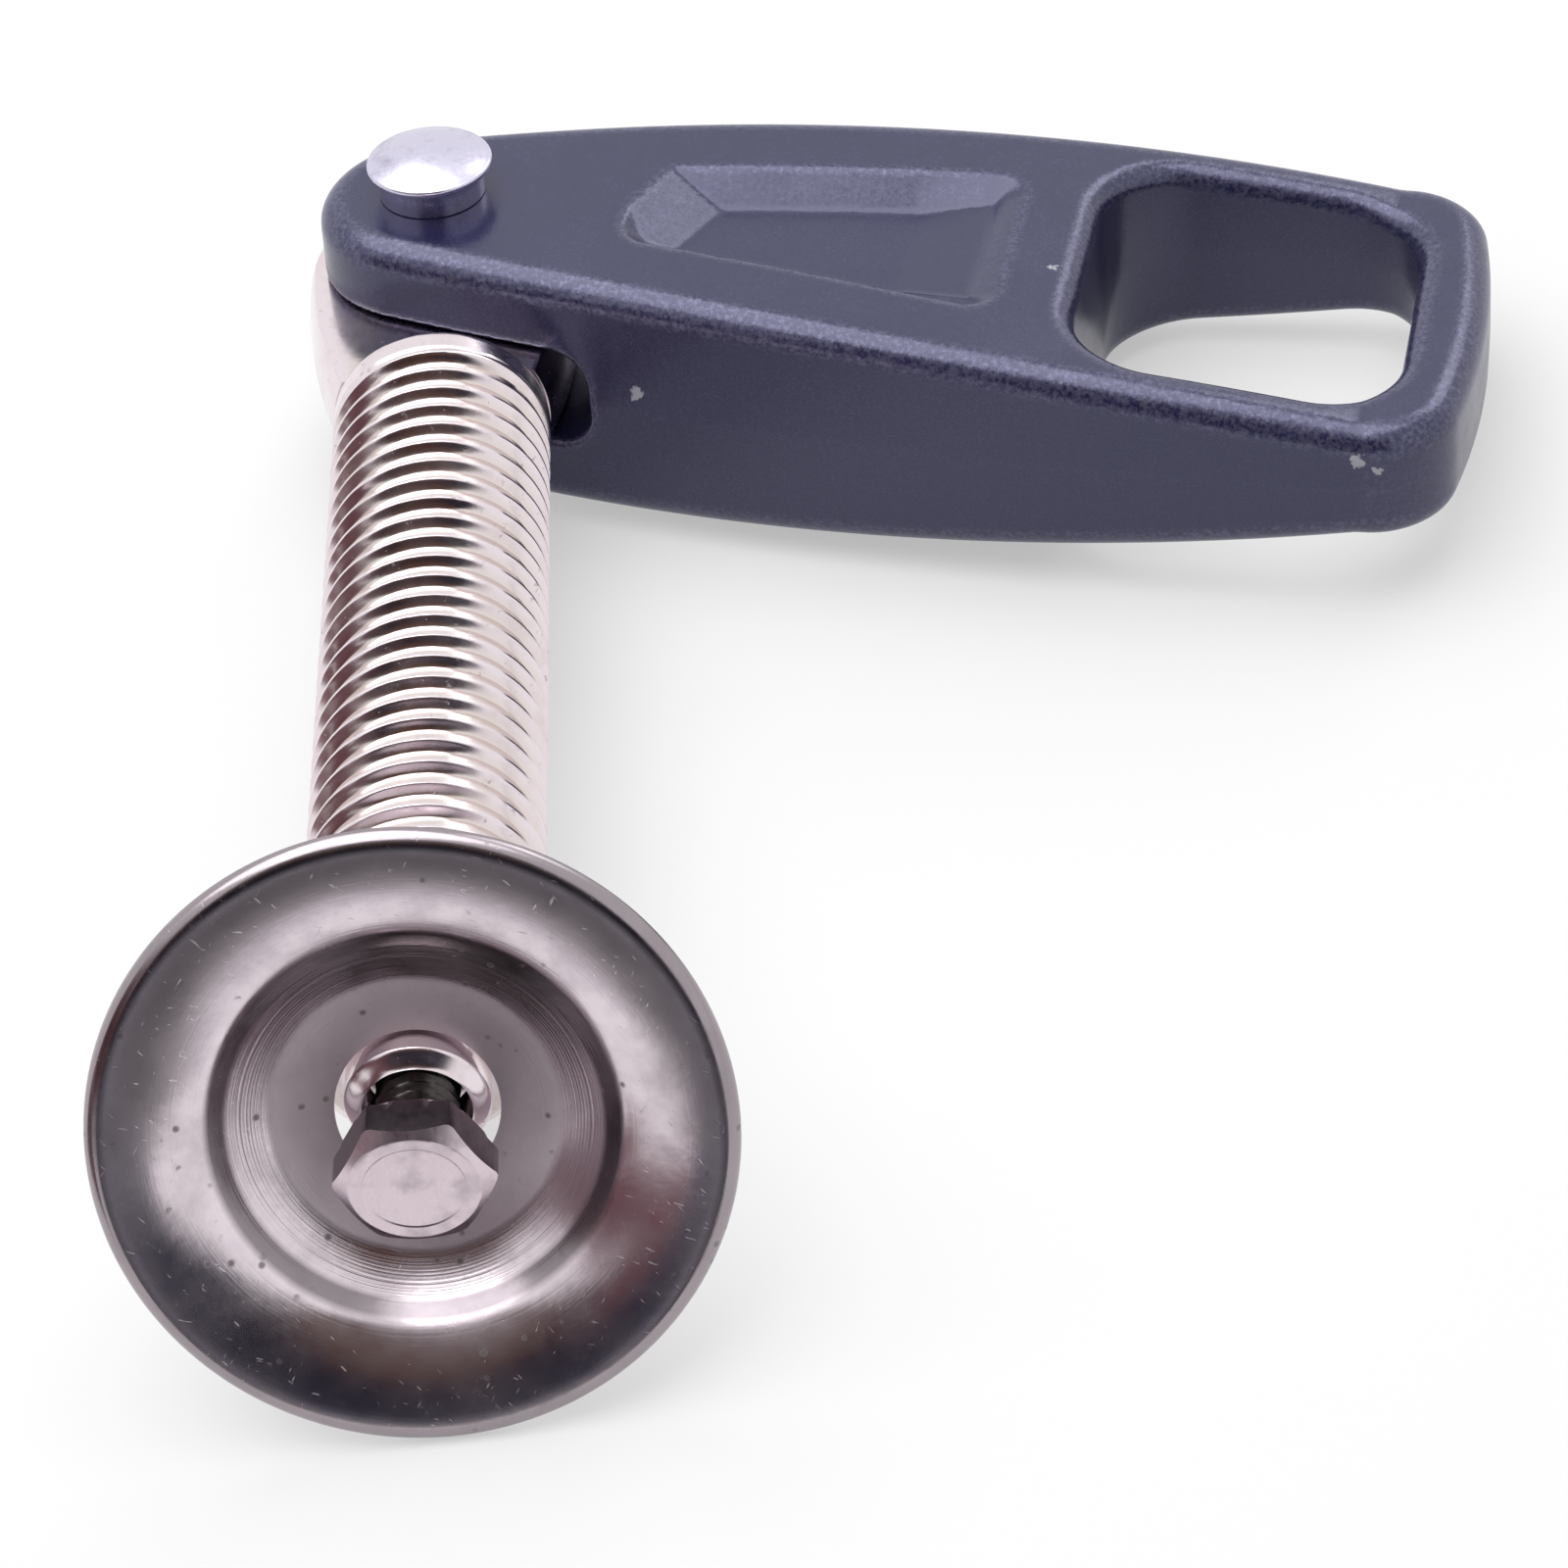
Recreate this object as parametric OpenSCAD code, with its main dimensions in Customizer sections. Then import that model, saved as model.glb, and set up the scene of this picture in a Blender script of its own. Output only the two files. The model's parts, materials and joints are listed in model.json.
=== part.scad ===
// Transom clamp screw: a threaded clamp screw with a folding handle and a swivel pad, lying at rest.
// Every piece is drawn in the screw's own frame: the handle's pivot at the origin, the handle pin along Z
// and the pad towards -Y. The module lay() then turns that frame to how the part lies on a table.

/* [Clamp screw] */
// Major diameter of the clamp thread
thread_d = 17.6; // [14:0.1:20]
// Distance from the pivot to the shoulder that backs the pad
shoulder_y = 95; // [60:1:130]
// Chamfer round the shoulder
shoulder_chamfer = 1.4; // [0.5:0.1:2.5]
// Radius of the rounded eye
eye_r = 11.4; // [10.5:0.1:12.5]
// Thickness of the eye across its two flats
eye_t = 8.4; // [6:0.1:10]
// Distance from the pivot to the end of the flats
flat_end = 17; // [16:0.5:24]
// Length of the plain collar between the flats and the thread
collar_len = 2.5; // [1:0.1:5]
// Diameter of the nose that carries the pad
nose_d = 10.2; // [9:0.1:11]
// Length of the nose beyond the shoulder
nose_len = 5.5; // [4.5:0.1:8]
// Diameter of the nose's end face
nose_end_d = 8; // [7:0.1:8.8]
// Length of the nose's rounded end
nose_round = 2.6; // [1.5:0.1:4]

/* [Handle] */
// Distance from the pivot to the tip of the handle
handle_len = 87; // [70:1:110]
// Radius of the handle's end round the pivot
ear_r = 9.5; // [8.8:0.1:10.5]
// Half width of the handle at its widest
wide_half = 18.6; // [15:0.1:22]
// Distance from the tip back to the widest place
wide_back = 15; // [8:0.5:25]
// Corner radius of the tip
tip_corner_r = 5.5; // [4:0.1:8]
// Radius of the tip's bowed end
tip_end_r = 75; // [50:1:150]
// Thickness of the handle at the pivot
root_t = 22.2; // [18:0.1:26]
// Thickness of the handle at the tip
tip_t = 10.4; // [8:0.1:14]
// Length of the level stretch beside the pivot
level_u = 8; // [5:0.5:10]
// Radius of the long curve that thins the handle
back_r = 420; // [350:5:600]
// Rounding of the handle's outer edges
edge_r = 2.2; // [1:0.1:3]
// Draft from the parting line to each face
draft_deg = 1.2; // [0:0.1:3]
// Distance from the pivot to the end of the fork slot
slot_end = 15.3; // [14.5:0.1:18]
// Rounding in the corners of the fork slot
slot_round = 3.2; // [1:0.1:4]
// Side clearance between the fork and the eye
fork_clear = 0.3; // [0.15:0.05:0.5]

/* [Finger hole and pocket] */
// Length of the finger hole
hole_len = 26.4; // [18:0.2:30]
// Bridge between the finger hole and the tip
tip_bridge = 6; // [4:0.1:10]
// Bridge between the finger hole and each side, at the widest place
side_bridge = 4.3; // [3.5:0.1:7]
// Corner radius of the finger hole
hole_corner_r = 7.2; // [4:0.1:9]
// Rounding of the finger hole's lips
hole_lip = 1.6; // [0.5:0.1:2]
// Start of the pocket in each face, from the pivot
pocket_start = 17; // [16:0.5:22]
// Web between the pocket and the finger hole
pocket_web = 6.1; // [4:0.1:12]
// Half width of the pocket at its narrow end
pocket_narrow = 5.6; // [4:0.1:7]
// Half width of the pocket at its wide end
pocket_wide = 9.6; // [7:0.1:11]
// Corner radius of the pocket
pocket_corner_r = 2.6; // [2.3:0.1:4]
// Depth of the pocket
pocket_depth = 2.4; // [1:0.1:3]
// Depth of the pocket where its ramp meets the far wall
pocket_end_depth = 0.85; // [0.4:0.05:1]
// Inward run of the pocket's sloping wall
pocket_run = 1.7; // [0.5:0.1:2]
// Length of the ramp that ends the pocket's floor
pocket_ramp = 9; // [4:0.5:14]

/* [Handle pin] */
// Diameter of the pin's shank
pin_d = 6.5; // [5:0.1:7.5]
// Diameter of the pin's round head
pin_head_d = 10.4; // [9:0.1:12]
// Height of the head's straight side
pin_head_side = 3; // [1:0.1:4]
// Height of the dome on the head
pin_head_dome = 1; // [0.4:0.1:2]
// Diameter of the peened end
peen_d = 9; // [8:0.1:11]
// Height of the peened end
peen_h = 1.2; // [0.6:0.1:2]
// Radial running clearance of the pin in the eye
pin_run = 0.08; // [0.03:0.01:0.1]
// Radial clearance of the pin in the handle's ears
pin_seat = 0.03; // [0.01:0.01:0.1]

/* [Swivel pad] */
// Outer diameter of the pad
pad_d = 44.6; // [38:0.2:60]
// Thickness of the pressed sheet
sheet_t = 1.4; // [1:0.1:2]
// Distance along the screw from the nose's end back to the pad's hole
pad_set_back = 0.3; // [0:0.1:1]
// Clearance between the nose and the hole in the tilted pad
pad_clear = 0.25; // [0.2:0.05:0.6]
// Slope of the shallow cone round the hole
seat_slope = 17.5; // [0:0.5:22]
// Width of the steep step round the cone
step_w = 4.7; // [3:0.1:6]
// Slope of the steep step
step_slope = 36.5; // [28:0.5:45]
// Radius of the curve from the step to the level rim
dish_r = 9.2; // [7:0.1:12]
// Width of the level bearing rim
rim_flat = 0.8; // [0.4:0.1:2]
// Rounding of the rim's outer edge
rim_round = 1.1; // [0.5:0.1:1.3]
// Tilt of the pad on the nose
pad_tilt = 20.5; // [0:0.5:22]

/* [Pad bolt] */
// Diameter of the pad bolt's thread
bolt_d = 5.9; // [5:0.1:6]
// Width of the bolt's head across flats
bolt_af = 10; // [9.9:0.1:11]
// Height of the bolt's head
bolt_head_h = 3.6; // [3:0.1:5]
// Radius of the head's round face
bolt_face_r = 4.5; // [4:0.1:4.8]
// Slope of the chamfer round the head's face
bolt_chamfer_deg = 35; // [20:1:45]
// Distance from the nose's end to the underside of the head
bolt_stand_off = 4.2; // [3:0.1:6]
// Length of thread inside the nose
bolt_grip = 14; // [8:0.5:20]
// Depth of the tapped hole beyond the bolt's end
drill_run = 1; // [0.5:0.1:3]
// Turn of the bolt's head about the screw
bolt_turn = 0; // [-30:1:30]
// Radial clearance of the bolt in its tapped hole
bolt_clear = 0.03; // [0.01:0.01:0.1]

/* [Rest] */
// Lean of the handle from square, towards the pad
handle_lean = 13; // [-90:1:15]

/* [Hidden] */
$fn = 96;

// Steps of a short arc
arc_steps = 8;
// Half angle of the small flat that ends the handle's outline on its middle line
apex_deg = 2;
// Overshoot of a cut beyond the face it opens
eps = 0.5;
// Smallest divisor that a corner of the sheet is mitred with
miter_min = 0.5;
thread_r = thread_d / 2;
wide_u = handle_len - wide_back;
hole_stop = handle_len - tip_bridge;
hole_start = hole_stop - hole_len;
hole_half = wide_half - side_bridge;
pocket_stop = hole_start - pocket_web;
slot_half = eye_t / 2 + fork_clear;
root_half = root_t / 2;
tip_half = tip_t / 2;
nose_end_y = shoulder_y + nose_len;
pad_y = nose_end_y - pad_set_back;
pad_hole_r = (nose_d / 2 + pad_clear) / cos(pad_tilt);
rim_edge_r = pad_d / 2 - rim_round;
step_end_r = rim_edge_r - rim_flat - dish_r * sin(step_slope);
seat_end_r = step_end_r - step_w;
seat_h = (seat_end_r - pad_hole_r) * tan(seat_slope);
step_h = seat_h + step_w * tan(step_slope);
rim_h = step_h + dish_r * (1 - cos(step_slope));
bolt_seat_y = nose_end_y + bolt_stand_off;

// Points of an arc about c, from angle a0 to angle a1.
function arc(c, r, a0, a1, n) = [for (i = [0:n]) let(a = a0 + (a1 - a0) * i / n) c + r * [cos(a), sin(a)]];

// Upper crossing of two circles.
function meet(c0, r0, c1, r1) =
    let(d = norm(c1 - c0), e = (c1 - c0) / d,
        a = (d * d + r0 * r0 - r1 * r1) / (2 * d), h = sqrt(r0 * r0 - a * a))
    c0 + a * e + h * [-e.y, e.x] * (e.x > 0 ? 1 : -1);

function angle_of(v) = atan2(v.y, v.x);

// Plan of the handle: four arcs that run into each other, one half, from the ear's end to the tip.
side_r = (wide_u * wide_u + wide_half * wide_half - ear_r * ear_r) / (2 * (wide_half - ear_r));
side_c = [wide_u, wide_half - side_r];
end_c = [handle_len - tip_end_r, 0];
corner_c = meet(end_c, tip_end_r - tip_corner_r, side_c, side_r - tip_corner_r);
a_ear = angle_of(-side_c);
a_corner = angle_of(corner_c - side_c);
a_end = angle_of(corner_c - end_c);

function rest_of(list) = [for (i = [1:len(list) - 1]) list[i]];
function handle_half(inset) = concat(
    arc([0, 0], ear_r - inset, 180 - apex_deg, a_ear, 2 * arc_steps),
    rest_of(arc(side_c, side_r - inset, a_ear, a_corner, 3 * arc_steps)),
    rest_of(arc(corner_c, tip_corner_r - inset, a_corner, a_end, arc_steps)),
    rest_of(arc(end_c, tip_end_r - inset, a_end, apex_deg, arc_steps / 2)));

// Plan of an opening in the handle: two rounded corners, one half; grow moves the outline outwards.
function opening_half(start, stop, half0, half1, r, grow) =
    let(c0 = [start + r, half0 - r], c1 = [stop - r, half1 - r], a = angle_of(c1 - c0) + 90)
    concat(arc(c0, r + grow, 180, a, arc_steps), arc(c1, r + grow, a, 0, arc_steps));

// Closes a half outline with its mirror image, so point i faces point n - 1 - i.
function closed(half) = concat(half, [for (i = [len(half) - 1:-1:0]) [half[i].x, -half[i].y]]);

// Half thickness of the handle at a distance u from the pivot.
function half_at(u) = max(tip_half, root_half - pow(max(0, u - level_u), 2) / (2 * back_r));

// A ring of points over a closed outline, sunk below the upper or the lower face.
function ring_on(outline, sink, side) = [for (p = outline) [p.x, p.y, side * (half_at(p.x) - sink)]];
function ring_flat(outline, z) = [for (p = outline) [p.x, p.y, z]];

// Solid skinned over rings that are stacked upwards and mirror about the XZ plane.
module skin(rings) {
    n = len(rings[0]);
    top = len(rings) - 1;
    walls = [for (j = [0:top - 1], i = [0:n - 1])
        let(a = j * n + i, b = j * n + (i + 1) % n)
        each [[a, b, b + n], [a, b + n, a + n]]];
    cap = [for (i = [0:n / 2 - 2]) [i, i + 1, n - 2 - i, n - 1 - i]];
    lower = [for (f = cap) [for (k = [len(f) - 1:-1:0]) f[k]]];
    upper = [for (f = cap) [for (k = f) top * n + k]];
    polyhedron(points = [for (r = rings) each r], faces = concat(walls, lower, upper));
}

// Section of the pocket's wall from its floor to its brim: shares of the wall's run and of the depth.
pocket_brim = 0.3;
pocket_wall = [[-1, 1], [-0.75, 0.93], [-0.15, 0.2], [pocket_brim, 0]];

// Angles of the steps round a rounded edge.
edge_steps = 4;
edge_angles = [for (i = [0:edge_steps]) 90 * i / edge_steps];

// Turns a part from the screw's frame into the handle's frame.
module swing() {
    rotate([0, 0, -handle_lean]) children();
}

// Turns a part of revolution so that its axis runs from the pivot towards the pad.
module along_screw() {
    rotate([90, 0, 0]) children();
}

// Moves the pad from its own axis to its tilted seat; its hole is centred on the screw's axis.
module on_nose() {
    translate([0, -pad_y, 0]) rotate([-pad_tilt, 0, 0]) children();
}

// The part lies on the edge of the pad's rim, on the peened end of the pin and on the belly of the handle.
edge_h = rim_h - sheet_t;
rim_low = [
    pad_y + edge_h * cos(pad_tilt) + pad_d / 2 * sin(pad_tilt),
    pad_d / 2 * cos(pad_tilt) - edge_h * sin(pad_tilt)];
pin_low = root_half + peen_h;
pitch = atan2(rim_low.y - pin_low, rim_low.x);
belly = [for (p = closed(handle_half(edge_r)))
    let(x = p.x * cos(handle_lean) + p.y * sin(handle_lean),
        y = p.y * cos(handle_lean) - p.x * sin(handle_lean))
    if (x > ear_r) atan2(pin_low - half_at(p.x) - y * tan(pitch), x)];
roll = min(belly);
thread_start = flat_end + collar_len;

module lay() {
    rotate([0, roll, 0]) rotate([-pitch, 0, 0]) translate([0, thread_start, 0]) children();
}

module clamp_screw() {
    neck_r = (flat_end * flat_end + pow(eye_r - thread_r, 2)) / (2 * (eye_r - thread_r));
    neck_a = asin(flat_end / neck_r);
    nose_r = nose_d / 2;
    nose_end_r = nose_end_d / 2;
    profile = concat(
        arc([0, 0], eye_r, -90, 0, 2 * arc_steps),
        rest_of(arc([eye_r - neck_r, 0], neck_r, 0, neck_a, arc_steps)),
        [[thread_r, shoulder_y - shoulder_chamfer],
            [thread_r - shoulder_chamfer, shoulder_y],
            [nose_r, shoulder_y]],
        [for (i = [0:arc_steps]) let(a = 90 * i / arc_steps)
            [nose_end_r + (nose_r - nose_end_r) * cos(a), nose_end_y - nose_round * (1 - sin(a))]],
        [[0, nose_end_y]]);
    color("gainsboro") difference() {
        along_screw() rotate_extrude() polygon(profile);
        for (s = [-1, 1])
            translate([-2 * eye_r, -flat_end, s > 0 ? eye_t / 2 : -eye_t / 2 - eye_r])
                cube([4 * eye_r, flat_end + eye_r + eps, eye_r]);
        cylinder(r = pin_d / 2 + pin_run, h = 2 * eye_t, center = true);
        along_screw() translate([0, 0, nose_end_y - bolt_grip - drill_run])
            cylinder(r = bolt_d / 2 + bolt_clear, h = bolt_grip + drill_run + eps);
    }
}

module handle_body() {
    bulge = (root_half - edge_r) * tan(draft_deg);
    skin(concat(
        [for (a = edge_angles)
            ring_on(closed(handle_half(edge_r * (1 - sin(a)))), edge_r * (1 - cos(a)), -1)],
        [ring_flat(closed(handle_half(-bulge)), 0)],
        [for (i = [edge_steps:-1:0]) let(a = edge_angles[i])
            ring_on(closed(handle_half(edge_r * (1 - sin(a)))), edge_r * (1 - cos(a)), 1)]));
}

module finger_hole() {
    pinch = (tip_half - hole_lip) * tan(draft_deg);
    function plan(grow) = closed(opening_half(hole_start, hole_stop, hole_half, hole_half,
        hole_corner_r, grow));
    skin(concat(
        [ring_on(plan(hole_lip), -eps, -1)],
        [for (a = edge_angles) ring_on(plan(hole_lip * (1 - sin(a))), hole_lip * (1 - cos(a)), -1)],
        [ring_flat(plan(-pinch), 0)],
        [for (i = [edge_steps:-1:0]) let(a = edge_angles[i])
            ring_on(plan(hole_lip * (1 - sin(a))), hole_lip * (1 - cos(a)), 1)],
        [ring_on(plan(hole_lip), -eps, 1)]));
}

module pocket() {
    function plan(grow) = closed(opening_half(pocket_start, pocket_stop, pocket_narrow, pocket_wide,
        pocket_corner_r, grow));
    rise = pocket_depth - pocket_end_depth;
    function depth_at(u) = min(pocket_depth, pocket_end_depth + rise * (pocket_stop - u) / pocket_ramp);
    function ring_in(outline, share) = [for (p = outline) [p.x, p.y, half_at(p.x) - share * depth_at(p.x)]];
    skin(concat(
        [for (w = pocket_wall) ring_in(plan(w[0] * pocket_run), w[1])],
        [ring_on(plan(pocket_brim * pocket_run), -eps, 1)]));
}

module fork_slot() {
    reach = ear_r + 2 * eps;
    corner = [slot_end - slot_round, slot_half - slot_round];
    outline = concat(
        [[-reach, -slot_half]],
        arc([corner.x, -corner.y], slot_round, -90, 0, arc_steps),
        arc(corner, slot_round, 0, 90, arc_steps),
        [[-reach, slot_half]]);
    rotate([90, 0, 0]) linear_extrude(height = 3 * wide_half, center = true) polygon(outline);
}

module handle() {
    color([0.2, 0.2, 0.27]) difference() {
        handle_body();
        finger_hole();
        for (s = [0, 1]) mirror([0, 0, s]) pocket();
        fork_slot();
        cylinder(r = pin_d / 2 + pin_seat, h = 2 * root_t, center = true);
    }
}

// Points of a shallow dome of base radius r and height h.
function dome(r, h, z, up) =
    let(big = (r * r + h * h) / (2 * h), half = asin(r / big))
    [for (i = [0:arc_steps]) let(a = half * (1 - i / arc_steps))
        [big * sin(a), z + up * (big * cos(a) - big + h)]];

module handle_pin() {
    head_z = root_half + pin_head_side;
    lower = dome(peen_d / 2, peen_h, -root_half, -1);
    profile = concat(
        [for (i = [len(lower) - 1:-1:0]) lower[i]],
        [[pin_d / 2, -root_half], [pin_d / 2, root_half], [pin_head_d / 2, root_half]],
        dome(pin_head_d / 2, pin_head_dome, head_z, 1));
    color("silver") rotate_extrude() polygon(profile);
}

module clamp_pad() {
    // Face of the pressing from the hole to the level rim; the height is measured from the hole's edge.
    face = concat(
        [[pad_hole_r, 0], [seat_end_r, seat_h]],
        arc([rim_edge_r - rim_flat, rim_h - dish_r], dish_r, 90 + step_slope, 90, arc_steps),
        [[rim_edge_r, rim_h]]);
    n = len(face);
    function turn(i) =
        let(d0 = i > 0 ? face[i] - face[i - 1] : face[1] - face[0],
            d1 = i < n - 1 ? face[i + 1] - face[i] : [1, 0],
            m = d0 / norm(d0) + d1 / norm(d1), u = m / norm(m))
        [u.y, -u.x] / max(miter_min, norm(m) / 2);
    back = [for (i = [n - 1:-1:0]) face[i] + sheet_t * turn(i)];
    edge = arc([rim_edge_r, rim_h - rim_round], rim_round, 90, 0, arc_steps / 2);
    color("lightgray") on_nose() along_screw() rotate_extrude()
        polygon(concat(face, rest_of(edge), [[pad_d / 2, edge_h]], back));
}

module pad_bolt() {
    corner_r = bolt_af / 2 / cos(30);
    face_y = bolt_seat_y + bolt_head_h;
    chamfer = (corner_r - bolt_face_r) * tan(bolt_chamfer_deg);
    color("gainsboro") along_screw() {
        intersection() {
            translate([0, 0, bolt_seat_y]) rotate(bolt_turn)
                cylinder(r = corner_r, h = bolt_head_h, $fn = 6);
            rotate_extrude() polygon([[0, bolt_seat_y], [corner_r + eps, bolt_seat_y],
                [corner_r + eps, face_y - chamfer - eps * tan(bolt_chamfer_deg)],
                [bolt_face_r, face_y], [0, face_y]]);
        }
        translate([0, 0, nose_end_y - bolt_grip]) cylinder(d = bolt_d, h = bolt_grip + bolt_stand_off);
    }
}

lay() clamp_screw();
lay() swing() handle();
lay() handle_pin();
lay() clamp_pad();
lay() pad_bolt();
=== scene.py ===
"""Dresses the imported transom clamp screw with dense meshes, finishes, studio light and a camera."""

import json
import logging
import math
from dataclasses import dataclass
from enum import Enum
from typing import Callable, Optional, Sequence, Tuple

import bmesh
import bpy
import numpy as np
from mathutils import Matrix, Vector


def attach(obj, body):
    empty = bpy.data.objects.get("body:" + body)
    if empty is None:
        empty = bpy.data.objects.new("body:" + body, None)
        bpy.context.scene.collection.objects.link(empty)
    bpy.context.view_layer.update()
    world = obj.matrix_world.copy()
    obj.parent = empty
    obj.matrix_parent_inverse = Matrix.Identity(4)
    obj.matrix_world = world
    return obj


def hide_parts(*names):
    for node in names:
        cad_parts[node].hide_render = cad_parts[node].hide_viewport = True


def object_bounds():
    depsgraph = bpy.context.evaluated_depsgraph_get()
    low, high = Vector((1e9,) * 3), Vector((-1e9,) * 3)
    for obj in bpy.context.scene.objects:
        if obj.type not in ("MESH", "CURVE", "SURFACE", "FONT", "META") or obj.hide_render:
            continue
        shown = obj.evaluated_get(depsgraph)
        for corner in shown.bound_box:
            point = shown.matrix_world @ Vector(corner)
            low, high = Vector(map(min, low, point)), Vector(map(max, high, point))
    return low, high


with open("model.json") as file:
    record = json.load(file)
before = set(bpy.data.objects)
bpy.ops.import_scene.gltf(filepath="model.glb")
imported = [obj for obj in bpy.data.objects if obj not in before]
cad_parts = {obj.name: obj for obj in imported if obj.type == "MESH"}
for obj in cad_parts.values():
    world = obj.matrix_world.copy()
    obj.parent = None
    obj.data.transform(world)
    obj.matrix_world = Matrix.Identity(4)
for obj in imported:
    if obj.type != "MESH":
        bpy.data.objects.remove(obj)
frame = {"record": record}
CAD_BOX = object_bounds()

LOG = logging.getLogger("clamp_screw")
MM = 0.001
Colour = Tuple[float, float, float]
Spot = Tuple[float, float, float]
Chips = Tuple[Tuple[float, float, float, float], ...]
Field = Callable[[np.ndarray, np.ndarray, np.ndarray], np.ndarray]
Socket = bpy.types.NodeSocket
Piece = bpy.types.Object
WHITE: Colour = (1.0, 1.0, 1.0)


class ThreadHand(Enum):
    """The way a screw thread winds."""

    RIGHT = 1
    LEFT = -1


class LampRole(Enum):
    """What a lamp is there to do."""

    TOP = "top"
    EDGE = "edge"


# Placing

@dataclass(frozen=True)
class ScrewAxes:
    """The screw's own frame: the fold pivot, the screw's length and the handle pin."""

    to_row: Matrix

    @classmethod
    def from_record(cls, record: dict) -> "ScrewAxes":
        """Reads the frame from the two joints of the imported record.

        Args:
            record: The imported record.

        Returns:
            The screw's frame, as a matrix into the row's frame.
        """
        joints = {joint["name"]: joint for joint in record["behaviour"]["joints"]}
        up = Vector(joints["handle_fold"]["axis"]).normalized()
        back = -Vector(joints["pad_swivel"]["axis"]).normalized()
        side = back.cross(up).normalized()
        turn = Matrix((side, up.cross(side), up)).transposed().to_4x4()
        return cls(Matrix.Translation(joints["handle_fold"]["pos_m"]) @ turn)


# Mesh building

def link(name: str, data: bpy.types.ID) -> Piece:
    """Makes an object from its data and links it to the scene."""
    piece = bpy.data.objects.new(name, data)
    bpy.context.scene.collection.objects.link(piece)
    return piece


class MeshMaker:
    """Turns arrays of points and faces into placed objects."""

    @staticmethod
    def place(name: str, points: np.ndarray, faces: Sequence[Sequence[int]], matrix: Matrix,
              crease_deg: float = 40.0, weld: bool = False) -> Piece:
        """Makes an object from points in millimetres.

        Args:
            name: The object's name.
            points: Points in millimetres, one row each.
            faces: Corner indices of each face.
            matrix: The place of the points in the row's frame.
            crease_deg: Edges that bend more than this stay crisp.
            weld: True joins points that lie on each other.

        Returns:
            The object, linked to the scene.
        """
        turn = np.array(matrix)
        mesh = bpy.data.meshes.new(name)
        mesh.from_pydata((points * MM @ turn[:3, :3].T + turn[:3, 3]).tolist(), [], faces)
        work = bmesh.new()
        work.from_mesh(mesh)
        if weld:
            bmesh.ops.remove_doubles(work, verts=work.verts, dist=1e-7)
        bmesh.ops.recalc_face_normals(work, faces=work.faces)
        work.to_mesh(mesh)
        work.free()
        mesh.shade_smooth()
        mesh.set_sharp_from_angle(angle=math.radians(crease_deg))
        spots = np.empty(3 * len(mesh.vertices), dtype=np.float32)
        mesh.vertices.foreach_get("co", spots)
        local = (spots.reshape(-1, 3) - turn[:3, 3]) @ turn[:3, :3]
        layer = mesh.attributes.new("local", "FLOAT_VECTOR", "POINT")
        layer.data.foreach_set("vector", local.astype(np.float32).ravel())
        return link(name, mesh)

    @staticmethod
    def mark(piece: Piece, name: str, values: np.ndarray) -> None:
        """Stores one number for each point of a piece."""
        layer = piece.data.attributes.new(name, "FLOAT", "POINT")
        layer.data.foreach_set("value", np.asarray(values, dtype=np.float32))

    @staticmethod
    def rings(rows: np.ndarray, loop: bool = False) -> Tuple[np.ndarray, list]:
        """Joins rings of points into a closed skin.

        Args:
            rows: Points of each ring, as rings by points by three.
            loop: True joins the last ring to the first; else both ends close on a point.

        Returns:
            Points and faces.
        """
        count, lines = rows.shape[:2]
        points = rows.reshape(-1, 3)
        ring = np.arange(lines)
        after = np.roll(ring, -1)
        faces = []
        for row in range(count if loop else count - 1):
            low, high = row * lines, ((row + 1) % count) * lines
            faces.extend(np.stack([low + ring, low + after, high + after, high + ring], axis=1).tolist())
        if not loop:
            ends = np.array([rows[0].mean(axis=0), rows[-1].mean(axis=0)])
            first, last = len(points), len(points) + 1
            points = np.vstack([points, ends])
            base = (count - 1) * lines
            faces.extend([[first, int(b), int(a)] for a, b in zip(ring, after)])
            faces.extend([[last, int(base + a), int(base + b)] for a, b in zip(ring, after)])
        return points, faces

    @staticmethod
    def turned(profile: np.ndarray, lines: int, loop: bool = True) -> Tuple[np.ndarray, list]:
        """Turns a profile of radius and height about the z axis.

        Args:
            profile: Radius and height of each profile point.
            lines: How many points go round.
            loop: True for a closed profile, else the ends close on the axis.

        Returns:
            Points and faces.
        """
        angle = np.linspace(0, 2 * math.pi, lines, endpoint=False)
        rows = np.empty((len(profile), lines, 3))
        rows[:, :, 0] = profile[:, :1] * np.cos(angle)
        rows[:, :, 1] = profile[:, :1] * np.sin(angle)
        rows[:, :, 2] = profile[:, 1:]
        return MeshMaker.rings(rows, loop)


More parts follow.
